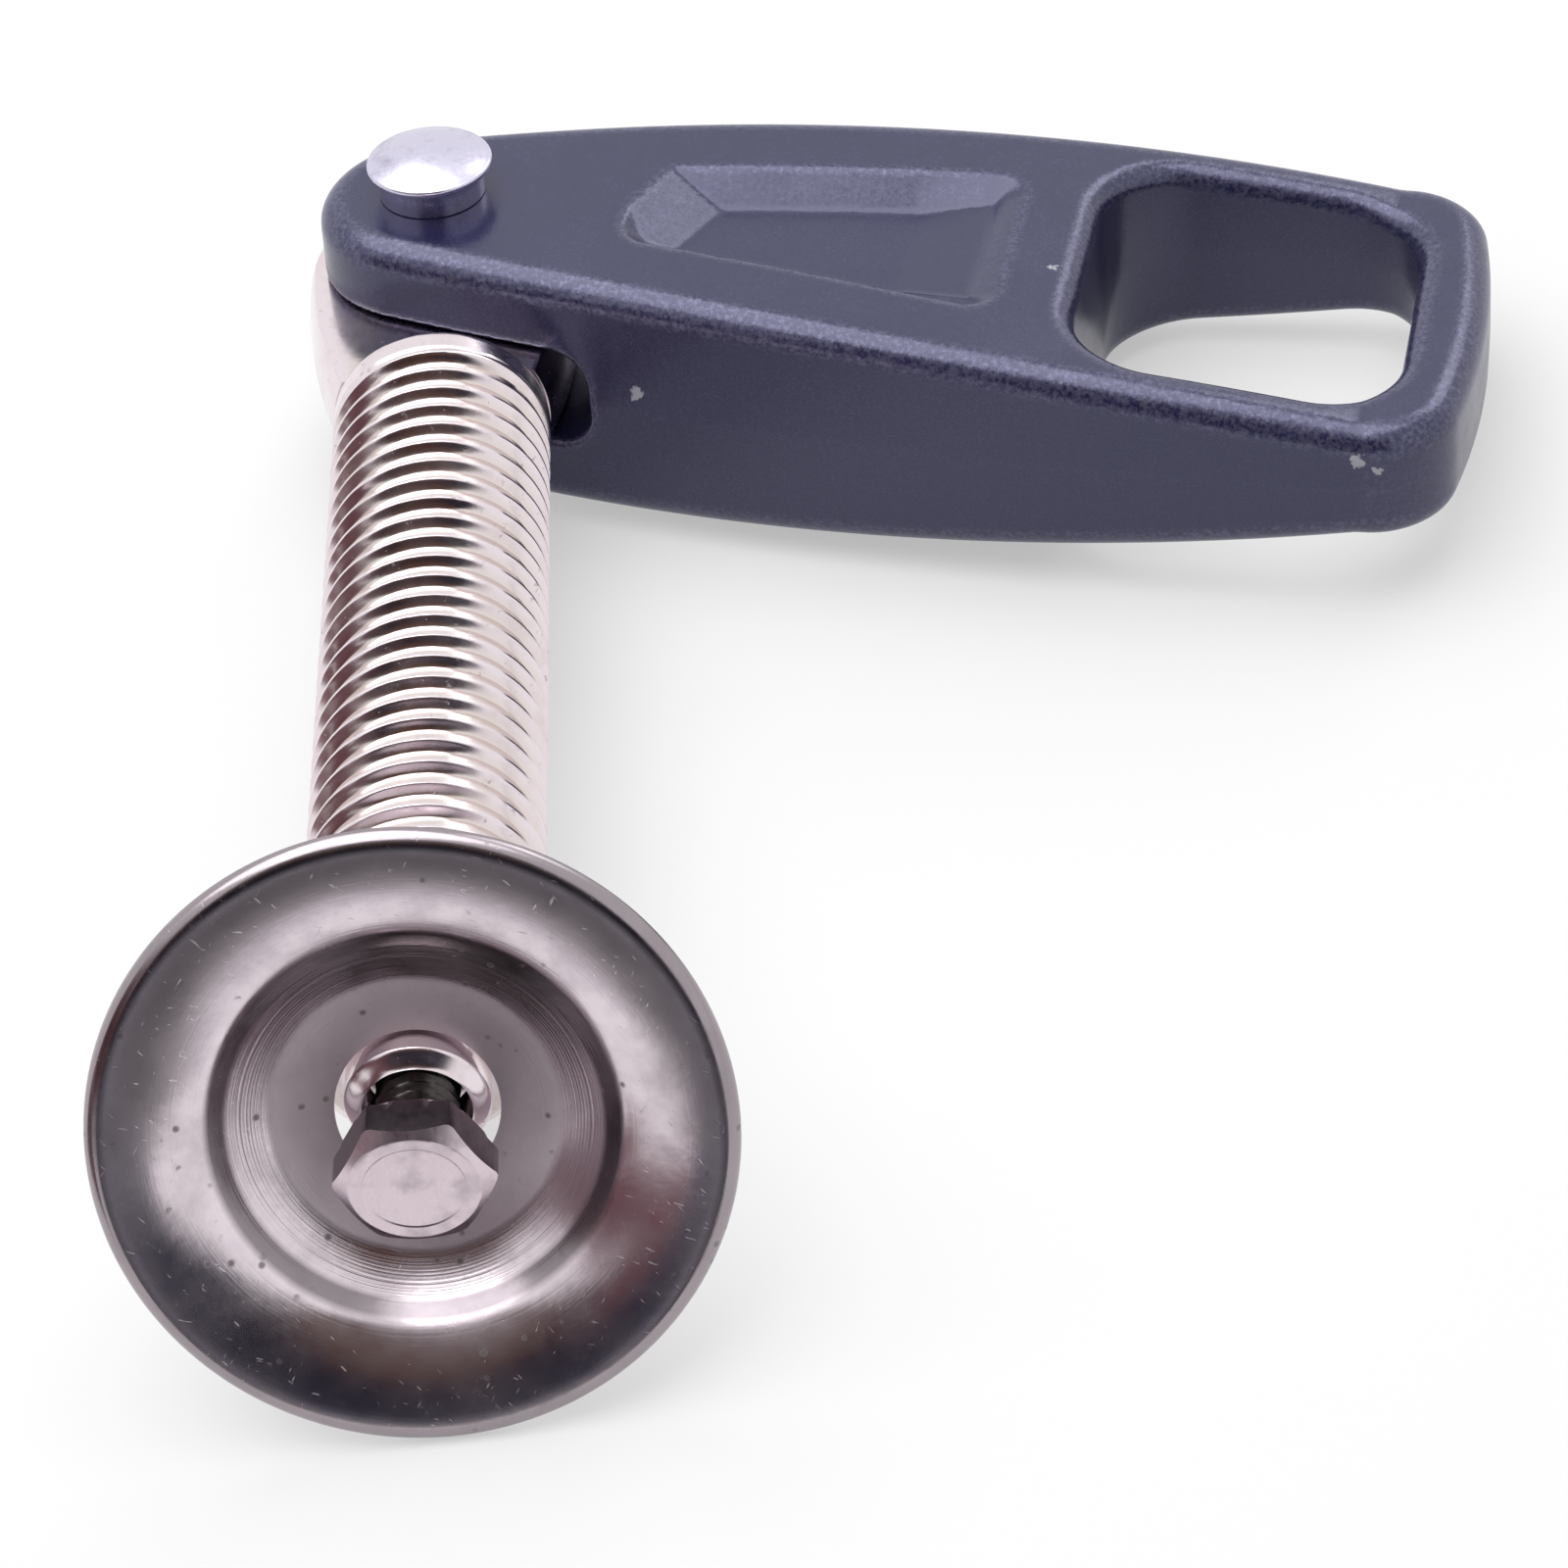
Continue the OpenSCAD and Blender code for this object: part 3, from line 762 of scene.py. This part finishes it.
@dataclass
class FoldingHandle:
    """The forked cast handle with its pockets and finger hole. Sizes in millimetres."""

    length: float = 87.0
    ear_r: float = 9.5
    wide_u: float = 72.0
    wide_half: float = 18.6
    tip_end_r: float = 75.0
    corner_r: float = 5.5
    root_half: float = 11.1
    tip_half: float = 5.2
    level_u: float = 8.0
    back_r: float = 420.0
    edge_r: float = 2.2
    draft: float = 0.021
    slot_end: float = 15.3
    slot_half: float = 4.5
    slot_round: float = 3.2
    hole_mid: float = 67.8
    hole_half: Tuple[float, float] = (13.2, 14.3)
    hole_corner: float = 7.2
    hole_lip: float = 1.6
    pocket_from: Tuple[float, float] = (19.6, 3.0)
    pocket_to: Tuple[float, float] = (45.9, 7.0)
    pocket_corner: float = 2.6
    pocket_depth: float = 2.4
    pocket_end_depth: float = 0.85
    pocket_run: float = 1.7
    pocket_left: float = 0.58
    pocket_slant: Tuple[float, float] = (0.93, 0.36)
    pocket_stop: float = 48.5
    pocket_ramp: float = 9.0
    bore_r: float = 3.28
    lean_deg: float = 13.0
    cell: float = 0.4
    box_low: Spot = (-10.3, -19.6, -12.0)
    box_high: Spot = (88.0, 19.6, 12.0)
    edge_bend: float = 0.42
    # Strength of the painted highlight on the pocket's brim, carried by the edge mask.
    brim_sheen: float = 2.2
    chips: Chips = (
        (19.7, -14.0, 1.9, 0.75), (52.3, -2.7, 8.8, 0.45), (78.6, -18.5, 2.8, 0.55), (80.1, -18.5, 1.9, 0.4))

    def half_at(self, u: np.ndarray) -> np.ndarray:
        """Half thickness of the handle along its length."""
        fall = np.maximum(0, u - self.level_u) ** 2 / (2 * self.back_r)
        return np.maximum(self.tip_half, self.root_half - fall)

    def plan(self, u: np.ndarray, w: np.ndarray) -> np.ndarray:
        """Distance from the outline seen from above."""
        w = np.abs(w)
        side_r = (self.wide_u ** 2 + self.wide_half ** 2 - self.ear_r ** 2) / (
            2 * (self.wide_half - self.ear_r))
        low = self.wide_half - side_r
        side = np.hypot(u - self.wide_u, w - low) - side_r
        end = np.hypot(u - (self.length - self.tip_end_r), w) - self.tip_end_r
        tip = round_cut(side, end, self.corner_r)
        ear = np.hypot(u, w) - self.ear_r
        before = -self.wide_u * (w - low) + low * (u - self.wide_u)
        return np.where(before > 0, ear, tip)

    def sunk(self, u: np.ndarray, w: np.ndarray) -> np.ndarray:
        """Share of the pocket's depth: 0 on the face, 1 on the pocket's floor."""
        back, w = w, np.abs(w)
        (u0, w0), (u1, w1) = self.pocket_from, self.pocket_to
        span = math.hypot(u1 - u0, w1 - w0)
        off = (w - w0) * (u1 - u0) / span - (u - u0) * (w1 - w0) / span
        box = np.maximum(np.maximum(u0 - u, u - u1), off)
        share = np.clip(((u - u0) * (u1 - u0) + (w - w0) * (w1 - w0)) / span ** 2, 0, 1)
        line = np.hypot(u - u0 - share * (u1 - u0), w - w0 - share * (w1 - w0))
        ends = np.where(w < w0, np.abs(u0 - u), line)
        ends = np.where((w < w1) & (u > u1), u - u1, ends)
        gap = np.where(box < 0, box, np.where(off > 0, line, ends)) - self.pocket_corner
        lip = 0.3 * self.pocket_run
        slant = (u0 - u - self.pocket_corner - lip) * self.pocket_slant[0] + (back - 0.5) * self.pocket_slant[1]
        gap = np.maximum(gap, slant * self.pocket_left + lip)
        return np.interp(gap / self.pocket_run, [-1.75, -1.5, -0.02, 0.15, 0.3], [1, 0.95, 0.08, 0.015, 0])

    def pocket(self, u: np.ndarray, w: np.ndarray) -> np.ndarray:
        """How far the pocket lies below the face."""
        floor = np.minimum(self.pocket_depth, self.pocket_end_depth
                           + (self.pocket_depth - self.pocket_end_depth)
                           * (self.pocket_stop - u) / self.pocket_ramp)
        return np.maximum(floor, 0) * self.sunk(u, w)

    def field(self, u: np.ndarray, w: np.ndarray, z: np.ndarray) -> np.ndarray:
        """Signed distance from the handle's skin, near enough."""
        tall = np.abs(z)
        half = self.half_at(u)
        slack = self.draft * (half - tall)
        wall = self.plan(u, w) - slack
        body = round_cut(wall, tall - half + self.pocket(u, w), self.edge_r)
        across = np.maximum(np.abs(u - self.hole_mid) - self.hole_half[0] + self.hole_corner, 0)
        along = np.maximum(np.abs(w) - self.hole_half[1] + self.hole_corner, 0)
        hole = np.hypot(across, along) - self.hole_corner
        deep = np.maximum(np.abs(u - self.hole_mid) - self.hole_half[0],
                          np.abs(w) - self.hole_half[1])
        hole = np.where((across == 0) & (along == 0), np.minimum(deep, -self.hole_corner), hole)
        body = round_cut(body, -hole - slack, self.hole_lip)
        slot = round_cut(u - self.slot_end, tall - self.slot_half, self.slot_round)
        body = round_cut(body, -slot, 0.45)
        return round_cut(body, self.bore_r - np.hypot(u, w), 0.2)

    def build(self, axes: ScrewAxes) -> Piece:
        """Makes, places and dresses the handle."""
        skin = IsoSkin(self.field, self.box_low, self.box_high, self.cell)
        points, faces = skin.skin()
        turn = Matrix.Rotation(math.radians(-self.lean_deg), 4, "Z")
        piece = MeshMaker.place("handle_casting", points, faces, axes.to_row @ turn, 60.0)
        u, w, z = points.T
        near = np.abs(z) > self.half_at(u) - self.pocket_depth - 0.3
        sunk = self.sunk(u, w) * (u < self.pocket_to[0] - 1.0) * near
        # The edge mask marks the outer edges for wear and painted highlight, and the pocket's brim for painted
        # highlight only.
        edge = np.maximum(skin.bend(points) / self.edge_bend, self.brim_sheen * sunk * (1 - sunk))
        MeshMaker.mark(piece, "edge", np.clip(edge, 0, 1))
        piece.data.materials.append(FlakePaintFinish(chips=self.chips).material())
        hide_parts("handle")
        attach(piece, "handle")
        return piece


@dataclass
class FoldRivet:
    """The headed pin that the handle folds on. Sizes in millimetres."""

    shank_r: float = 3.25
    seat: float = 11.1
    head_r: float = 5.2
    head_side: float = 3.0
    neck_r: float = 4.4
    dome: float = 1.0
    peen_r: float = 4.5
    peen_h: float = 1.2
    soften: float = 0.25
    lines: int = 72

    def profile(self) -> np.ndarray:
        """Radius and height from the dome's top to the peened end."""
        top = self.seat + self.head_side
        dome_r = (self.head_r ** 2 + self.dome ** 2) / (2 * self.dome)
        reach = self.head_r - self.soften
        out = []
        for r in np.linspace(0.05, reach, 16):
            out.append((r, top + self.dome - dome_r + math.sqrt(dome_r ** 2 - r ** 2)))
        start = out[-1][1]
        for turn in np.linspace(0, math.pi / 2, 6)[1:]:
            out.append((reach + self.soften * math.sin(turn), start - self.soften * (1 - math.cos(turn))))
        out += [(self.head_r, start - 0.45), (self.head_r - 0.1, start - 0.62)]
        out += [(self.neck_r + 0.3, start - 0.8), (self.neck_r + 0.05, start - 0.95)]
        out += [(self.neck_r, h) for h in np.linspace(start - 1.2, self.seat + 0.1, 5)]
        out += [(self.neck_r - 0.1, self.seat)]
        out += [(self.shank_r + 0.1, self.seat), (self.shank_r, self.seat - 0.1)]
        out += [(self.shank_r, h) for h in np.linspace(self.seat - 2, 2 - self.seat, 12)]
        out += [(self.shank_r, 0.1 - self.seat), (self.shank_r + 0.1, -self.seat)]
        peen_r = (self.peen_r ** 2 + self.peen_h ** 2) / (2 * self.peen_h)
        for r in np.linspace(self.peen_r - 0.05, 0.05, 14):
            out.append((r, -self.seat - self.peen_h + peen_r - math.sqrt(peen_r ** 2 - r ** 2)))
        return np.array(out)

    def build(self, axes: ScrewAxes) -> Piece:
        """Makes, places and dresses the rivet."""
        points, faces = MeshMaker.turned(self.profile(), self.lines, loop=False)
        piece = MeshMaker.place("fold_rivet", points, faces, axes.to_row, 38.0)
        finish = SatinFinish("rivet_plating", (0.66, 0.63, 0.77), (0.40, 0.38, 0.47), 0.16, 0.32)
        piece.data.materials.append(finish.material())
        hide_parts("handle_pin")
        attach(piece, "handle")
        return piece


@dataclass
class SwivelPad:
    """The pressed pad that turns on the nose of the screw. Sizes in millimetres."""

    outer_r: float = 22.3
    sheet: float = 1.4
    seat_s: float = 100.2
    tilt_deg: float = 20.5
    hole_r: float = 5.712
    seat_slope: float = 17.5
    step_w: float = 4.7
    step_slope: float = 36.5
    dish_r: float = 9.2
    rim_flat: float = 0.8
    rim_round: float = 1.1
    rim_sink: float = 0.25
    slopes: Tuple[Tuple[float, float], ...] = (
        (5.7, 16.5), (10.1, 16.5), (10.3, 22.0), (11.4, 28.0), (12.9, 34.0), (13.1, 40.0), (14.1, 40.0),
        (14.4, 33.0), (14.8, 27.5), (15.4, 25.0), (17.4, 19.5), (19.5, 12.5), (20.3, 9.0), (20.9, 4.0),
        (21.2, 0.0))
    rim_rows: int = 11
    lines: int = 176

    def bends(self) -> Tuple[float, float, float, float, float, float]:
        """Radius and height of the seat's edge, the step's end and the rim's edge."""
        rim_r = self.outer_r - self.rim_round
        step_r = rim_r - self.rim_flat - self.dish_r * math.sin(math.radians(self.step_slope))
        seat_r = step_r - self.step_w
        seat_h = (seat_r - self.hole_r) * math.tan(math.radians(self.seat_slope))
        step_h = seat_h + self.step_w * math.tan(math.radians(self.step_slope))
        rim_h = step_h + self.dish_r * (1 - math.cos(math.radians(self.step_slope)))
        return seat_r, seat_h, step_r, step_h, rim_r, rim_h

    def face(self) -> np.ndarray:
        """Radius and height along the front face, from the hole to the level rim."""
        seat_r, _, _, _, rim_r, rim_h = self.bends()
        known = np.array(self.slopes)
        radii = np.concatenate([np.linspace(self.hole_r, seat_r - 0.08, 12),
                                np.linspace(seat_r + 0.08, 15.0, 34), np.linspace(15.2, rim_r, 34)])
        rise = np.tan(np.radians(np.interp(radii, known[:, 0], known[:, 1])))
        height = np.concatenate([[0.0], np.cumsum((rise[1:] + rise[:-1]) / 2 * np.diff(radii))])
        height *= (rim_h - self.rim_sink) / height[-1]
        return np.vstack([[[self.hole_r + 0.02, -0.10], [self.hole_r + 0.1, 0.02]],
                          np.stack([radii, height], axis=1)[1:]])

    def profile(self) -> np.ndarray:
        """The closed section: the front face, the rounded edge, then the back face."""
        front = self.face()
        seat_r, seat_h, step_r, step_h, rim_r, rim_h = self.bends()
        top = rim_h - self.rim_sink
        edge = [(rim_r + self.rim_round * math.sin(turn), top - self.rim_round * (1 - math.cos(turn)))
                for turn in np.radians(np.linspace(8, 90, 10))]
        edge += [(self.outer_r, rim_h - self.sheet + 0.1), (self.outer_r - 0.1, rim_h - self.sheet)]
        seat, step = math.radians(self.seat_slope), math.radians(self.step_slope)
        back = [(rim_r - self.rim_flat, rim_h - self.sheet)]
        for turn in np.linspace(math.pi / 2, math.pi / 2 + step, 14)[1:]:
            reach = self.dish_r - self.sheet
            back.append((rim_r - self.rim_flat + reach * math.cos(turn),
                         rim_h - self.dish_r + reach * math.sin(turn)))
        middle = (seat + step) / 2
        miter = self.sheet / math.cos((step - seat) / 2)
        back.append((seat_r + miter * math.sin(middle), seat_h - miter * math.cos(middle)))
        back.append((self.hole_r + self.sheet * math.sin(seat) + 0.15, 0.05 - self.sheet * math.cos(seat)))
        back.append((self.hole_r + self.sheet * math.sin(seat) * 0.9, 0.12 - self.sheet * math.cos(seat)))
        return np.vstack([front, edge, back])

    def build(self, axes: ScrewAxes) -> Piece:
        """Makes, places and dresses the pad."""
        points, faces = MeshMaker.turned(self.profile(), self.lines)
        lay = (Matrix.Translation((0, -self.seat_s * MM, 0))
               @ Matrix.Rotation(math.radians(-self.tilt_deg), 4, "X") @ Matrix.Rotation(math.pi / 2, 4, "X"))
        piece = MeshMaker.place("swivel_pad", points, faces, axes.to_row @ lay, 30.0)
        front = np.arange(len(points)) < (len(self.face()) + self.rim_rows) * self.lines
        MeshMaker.mark(piece, "front", front)
        piece.data.materials.append(PressedFinish().material())
        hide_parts("clamp_pad")
        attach(piece, "pad")
        return piece


@dataclass
class PadBolt:
    """The hexagon bolt in the end of the nose. Sizes in millimetres."""

    shank_r: float = 2.95
    tip_s: float = 86.5
    seat_s: float = 104.7
    head_h: float = 3.6
    flats: float = 10.0
    face_r: float = 4.5
    chamfer_deg: float = 35.0
    turn_deg: float = 0.0
    disc_r: float = 3.5
    disc_depth: float = 0.06
    pitch: float = 1.0
    depth: float = 0.5
    lines: int = 96

    def rows(self) -> np.ndarray:
        """All rings from the tip of the shank to the middle of the head's face."""
        angle = np.linspace(0, 2 * math.pi, self.lines, endpoint=False) + math.radians(self.turn_deg)
        sixth = math.pi / 3
        local = np.mod(angle - math.radians(self.turn_deg), sixth) - sixth / 2
        hexagon = self.flats / 2 / np.cos(local)
        hexagon = np.minimum(hexagon, self.flats / 2 / math.cos(sixth / 2) - 0.12)
        rings = []

        def ring(s: object, reach: object) -> None:
            """Adds one ring at a distance along the bolt."""
            reach = np.broadcast_to(reach, angle.shape)
            rings.append(np.stack([reach * np.cos(angle), np.broadcast_to(-np.asarray(s), angle.shape),
                                   reach * np.sin(angle)], axis=1))
        ring(self.tip_s, 1.9)
        for s in np.arange(self.tip_s + 0.4, self.seat_s - 0.2, self.pitch / 8):
            part = np.abs(np.mod(s / self.pitch - angle / (2 * math.pi), 1.0) - 0.5) * 2
            fade = min(1.0, (self.seat_s - 0.2 - s) / 0.8)
            ring(s, self.shank_r - self.depth * fade * np.clip((part - 0.1) / 0.75, 0, 1))
        ring(self.seat_s - 0.15, self.shank_r)
        ring(self.seat_s, self.shank_r + 0.15)
        under = self.flats / 2 - 0.25
        ring(self.seat_s, under)
        slope = math.tan(math.radians(self.chamfer_deg))
        top = self.seat_s + self.head_h
        ring(self.seat_s + 0.12, np.minimum(hexagon, self.flats / 2 + 0.1))
        ring(self.seat_s + 0.4, hexagon)
        for share in (0.3, 0.6, 0.85, 1.0):
            rise = top - np.maximum(hexagon - self.face_r, 0) * slope
            ring(self.seat_s + 0.4 + (rise - self.seat_s - 0.4) * share, hexagon)
        for share in (0.25, 0.5, 0.75, 0.93):
            reach = hexagon + (self.face_r - hexagon) * share
            ring(top - (reach - self.face_r) * slope, reach)
        ring(top - 0.01, self.face_r)
        ring(top, self.face_r - 0.15)
        for r in (4.1, self.disc_r + 0.12):
            ring(top, r)
        ring(top - self.disc_depth, self.disc_r)
        for r in (2.8, 1.9, 1.0, 0.3):
            ring(top - self.disc_depth, r)
        return np.array(rings)

    def build(self, axes: ScrewAxes) -> Piece:
        """Makes, places and dresses the bolt."""
        points, faces = MeshMaker.rings(self.rows())
        piece = MeshMaker.place("pad_bolt_hex", points, faces, axes.to_row, 24.0)
        piece.data.materials.append(SatinFinish("bolt_steel").material())
        # Painted shade: a near-black copy of the steel for the shank in shadow, and a darker copy for the hex
        # flanks' dark reflections.
        shank_shade = SatinFinish("bolt_thread_painted_shade", (0.075, 0.066, 0.064), (0.03, 0.027, 0.027), 0.22, 0.40)
        flank = SatinFinish("bolt_flank_painted_shade", (0.30, 0.25, 0.275), (0.20, 0.165, 0.18), 0.18, 0.30)
        piece.data.materials.append(shank_shade.material())
        piece.data.materials.append(flank.material())
        layer = piece.data.attributes["local"].data
        along = axes.to_row.to_3x3().col[1]
        # Faces below the head's seat take the shank's painted shade; sideways-facing flanks take the flanks'
        # painted shade.
        for face in piece.data.polygons:
            if max(-layer[v].vector.y for v in face.vertices) < (self.seat_s + 0.05) * MM:
                face.material_index = 1
            elif abs(face.normal.dot(along)) < 0.3:
                face.material_index = 2
        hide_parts("pad_bolt")
        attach(piece, "screw")
        return piece


# Studio

@dataclass(frozen=True)
class Lamp:
    """A soft rectangular lamp. Sizes and places in metres."""

    role: LampRole
    spot: Spot
    aim: Spot
    size: Tuple[float, float]
    watts: float

    def build(self) -> Piece:
        """Makes the lamp and turns it to its aim."""
        data = bpy.data.lights.new("lamp_" + self.role.value, "AREA")
        data.shape = "RECTANGLE"
        data.size, data.size_y = self.size
        data.energy = self.watts
        lamp = link(data.name, data)
        lamp.location = self.spot
        lamp.rotation_euler = (Vector(self.aim) - Vector(self.spot)).to_track_quat("-Z", "Y").to_euler()
        return lamp


@dataclass(frozen=True)
class ShadeCard:
    """A curved dark card that the bright metal mirrors. Sizes in metres and degrees."""

    name: str
    radius: float
    turn: Tuple[float, float]
    stops: Tuple[Tuple[float, Colour], ...]
    fades: Tuple[float, float] = (4.0, 4.0)
    ends: Tuple[Tuple[float, float], ...] = ()
    steps: int = 40
    rows: int = 48

    def build(self, centre: Vector, floor: float) -> Piece:
        """Makes the card round a centre; what would dip below the floor lies on it.

        Args:
            centre: Middle of the card's curve.
            floor: Height of the floor.

        Returns:
            The card, kept out of the camera's sight.
        """
        tilts = np.linspace(self.stops[0][0], self.stops[-1][0], self.rows)
        turns = np.linspace(*self.turn, self.steps)
        left = (turns - self.turn[0]) / self.fades[0] if self.fades[0] else np.ones(self.steps)
        lifts = [stop[0] for stop in self.stops]
        points, shades = [], []
        for tilt in tilts:
            lean = math.radians(tilt)
            reach = self.radius
            if centre.z + reach * math.sin(lean) < floor + 0.001:
                reach = min(reach, (floor + 0.001 - centre.z) / math.sin(lean))
            colour = np.array([np.interp(tilt, lifts, [stop[1][k] for stop in self.stops]) for k in range(3)])
            end = np.interp(tilt, *zip(*self.ends)) if self.ends else self.turn[1]
            right = (end - turns) / self.fades[1] if self.fades[1] else np.ones(self.steps)
            edge = np.clip(np.minimum(left, right), 0, 1)
            for turn, share in zip(np.radians(turns), edge):
                flat = reach * math.cos(lean)
                points.append((centre.x + flat * math.sin(turn), centre.y - flat * math.cos(turn),
                               centre.z + reach * math.sin(lean)))
                shades.append((*(colour * share + (1 - share)), 1.0))
        faces = [(r * self.steps + c, r * self.steps + c + 1, (r + 1) * self.steps + c + 1,
                  (r + 1) * self.steps + c) for r in range(self.rows - 1) for c in range(self.steps - 1)]
        mesh = bpy.data.meshes.new(self.name)
        mesh.from_pydata(points, [], faces)
        layer = mesh.attributes.new("shade", "FLOAT_COLOR", "POINT")
        layer.data.foreach_set("color", np.array(shades, dtype=np.float32).ravel())
        card = link(self.name, mesh)
        material, g = NodeGraph.material(self.name)
        shade = g.read("shade", "Color")
        glow = g.add("ShaderNodeEmission", {"Color": shade, "Strength": 1.0})
        g.add("ShaderNodeOutputMaterial", {"Surface": glow.outputs[0]})
        mesh.materials.append(material)
        card.visible_camera = False
        card.visible_diffuse = False
        card.visible_shadow = False
        return card


@dataclass(frozen=True)
class Camera:
    """The camera in the screw's own frame, in millimetres."""

    spot: Spot = (31.8724, -358.8124, 234.9636)
    right: Spot = (0.9975356, -0.0315320, -0.0626776)
    down: Spot = (-0.0685741, -0.6271553, -0.7758697)
    ahead: Spot = (-0.0148439, 0.7782557, -0.6277720)
    lens: float = 116.493

    def build(self, axes: ScrewAxes) -> Piece:
        """Makes the camera and makes it the scene's own."""
        data = bpy.data.cameras.new("view")
        data.lens = self.lens
        data.sensor_width = 36.0
        data.clip_start, data.clip_end = 0.02, 20.0
        turn = Matrix((self.right, -Vector(self.down), -Vector(self.ahead))).transposed().to_4x4()
        camera = link("view", data)
        camera.matrix_world = axes.to_row @ Matrix.Translation(Vector(self.spot) * MM) @ turn
        bpy.context.scene.camera = camera
        return camera


@dataclass
class Studio:
    """Pale floor, white surround, soft lamps, shade cards and camera."""

    floor_half: float = 3.0
    floor_shade: float = 0.42
    floor_glow: float = 0.44
    surround: float = 0.55
    camera: Camera = Camera()
    lamps: Tuple[Lamp, ...] = (
        Lamp(LampRole.TOP, (-0.20, 0.10, 0.80), (-0.18, 0.08, 0.0), (1.0, 1.0), 8.2),
        Lamp(LampRole.EDGE, (0.62, 0.85, 0.74), (0.03, 0.0, 0.0), (0.5, 0.5), 1.8),
    )
    card_centre: Spot = (0.0, -0.085, 0.02)
    cards: Tuple[ShadeCard, ...] = (
        ShadeCard("card_front", 0.55, (-27.0, 38.0), (
            (-42.0, WHITE), (-38.0, (0.85, 0.83, 0.85)), (-32.0, (0.56, 0.55, 0.56)),
            (-28.0, (0.33, 0.32, 0.33)), (-24.0, (0.20, 0.195, 0.20)), (-16.0, (0.09, 0.087, 0.09)),
            (-8.0, (0.11, 0.105, 0.11)), (0.0, (0.22, 0.22, 0.24)), (5.0, (0.060, 0.060, 0.075)),
            (12.0, (0.022, 0.023, 0.036)), (30.0, (0.022, 0.020, 0.028)), (36.0, (0.085, 0.045, 0.034)),
            (46.0, (0.10, 0.058, 0.047)), (50.0, (0.11, 0.095, 0.10)), (57.0, (0.28, 0.26, 0.26)),
            (64.0, (0.90, 0.88, 0.88)), (67.0, WHITE)), (0.0, 5.0),
            ((-42.0, 27.0), (4.0, 27.0), (12.0, 37.0), (50.0, 37.0), (60.0, 30.0))),
        ShadeCard("card_side", 0.56, (-84.0, -26.0), (
            (0.5, WHITE), (2.5, (0.15, 0.075, 0.085)), (14.0, (0.12, 0.050, 0.058)),
            (21.0, (0.13, 0.070, 0.080)), (26.0, (0.28, 0.22, 0.23)), (31.0, WHITE)), (8.0, 0.0)),
        ShadeCard("card_join", 0.545, (-43.0, -25.0), (
            (17.0, (0.12, 0.050, 0.058)), (28.0, (0.050, 0.030, 0.036)), (38.0, (0.085, 0.048, 0.040)),
            (48.0, (0.11, 0.080, 0.080)), (56.0, (0.28, 0.26, 0.26)), (63.0, WHITE)), (6.0, 0.0)),
        ShadeCard("card_low", 0.57, (-88.0, -46.0), (
            (-22.0, WHITE), (-16.0, (0.22, 0.13, 0.145)), (-6.0, (0.17, 0.085, 0.095)),
            (1.5, (0.15, 0.075, 0.085))), (8.0, 5.0)),
    )

    @staticmethod
    def seen(g: NodeGraph) -> Socket:
        """One where a ray comes from the camera, a mirror or glass."""
        path = g.add("ShaderNodeLightPath").outputs
        both = g.most(path["Is Camera Ray"], path["Is Glossy Ray"])
        return g.most(both, path["Is Transmission Ray"])

    def floor(self) -> Piece:
        """Makes the pale floor under the lowest point of the model."""
        z = CAD_BOX[0][2]
        span = self.floor_half
        mesh = bpy.data.meshes.new("floor")
        mesh.from_pydata([(-span, -span, z), (span, -span, z), (span, span, z), (-span, span, z)], [],
                         [(0, 1, 2, 3)])
        floor = link("floor", mesh)
        material, g = NodeGraph.material("pale_floor")
        matt = g.add("ShaderNodeBsdfDiffuse", {"Color": solid((self.floor_shade,) * 3)})
        strength = g.times(self.seen(g), self.floor_glow)
        glow = g.add("ShaderNodeEmission", {"Color": solid(WHITE), "Strength": strength})
        both = g.add("ShaderNodeAddShader", {0: matt.outputs[0], 1: glow.outputs[0]})
        g.add("ShaderNodeOutputMaterial", {"Surface": both.outputs[0]})
        mesh.materials.append(material)
        return floor

    def world(self) -> None:
        """Makes the surround: white where it is seen, softer where it only lights."""
        world = bpy.data.worlds.new("surround")
        bpy.context.scene.world = world
        world.use_nodes = True
        g = NodeGraph(world.node_tree)
        strength = g.span(self.seen(g), 0.0, 1.0, self.surround, 1.0)
        back = g.add("ShaderNodeBackground", {"Color": solid(WHITE), "Strength": strength})
        g.add("ShaderNodeOutputWorld", {"Surface": back.outputs[0]})

    def build(self, axes: ScrewAxes) -> None:
        """Makes everything that isn't part of the object."""
        scene = bpy.context.scene
        scene.view_settings.view_transform = "Standard"
        self.camera.build(axes)
        self.floor()
        self.world()
        for lamp in self.lamps:
            lamp.build()
        for card in self.cards:
            card.build(Vector(self.card_centre), CAD_BOX[0][2])


def main() -> None:
    """Builds the pieces and the studio."""
    logging.basicConfig(level=logging.INFO, format="%(name)s: %(message)s")
    axes = ScrewAxes.from_record(frame["record"])
    Studio().build(axes)
    for maker in (ScrewSpindle(), FoldingHandle(), FoldRivet(), SwivelPad(), PadBolt()):
        piece = maker.build(axes)
        LOG.info("%s: %d points, %d faces", piece.name, len(piece.data.vertices), len(piece.data.polygons))


if __name__ == "__main__":
    main()
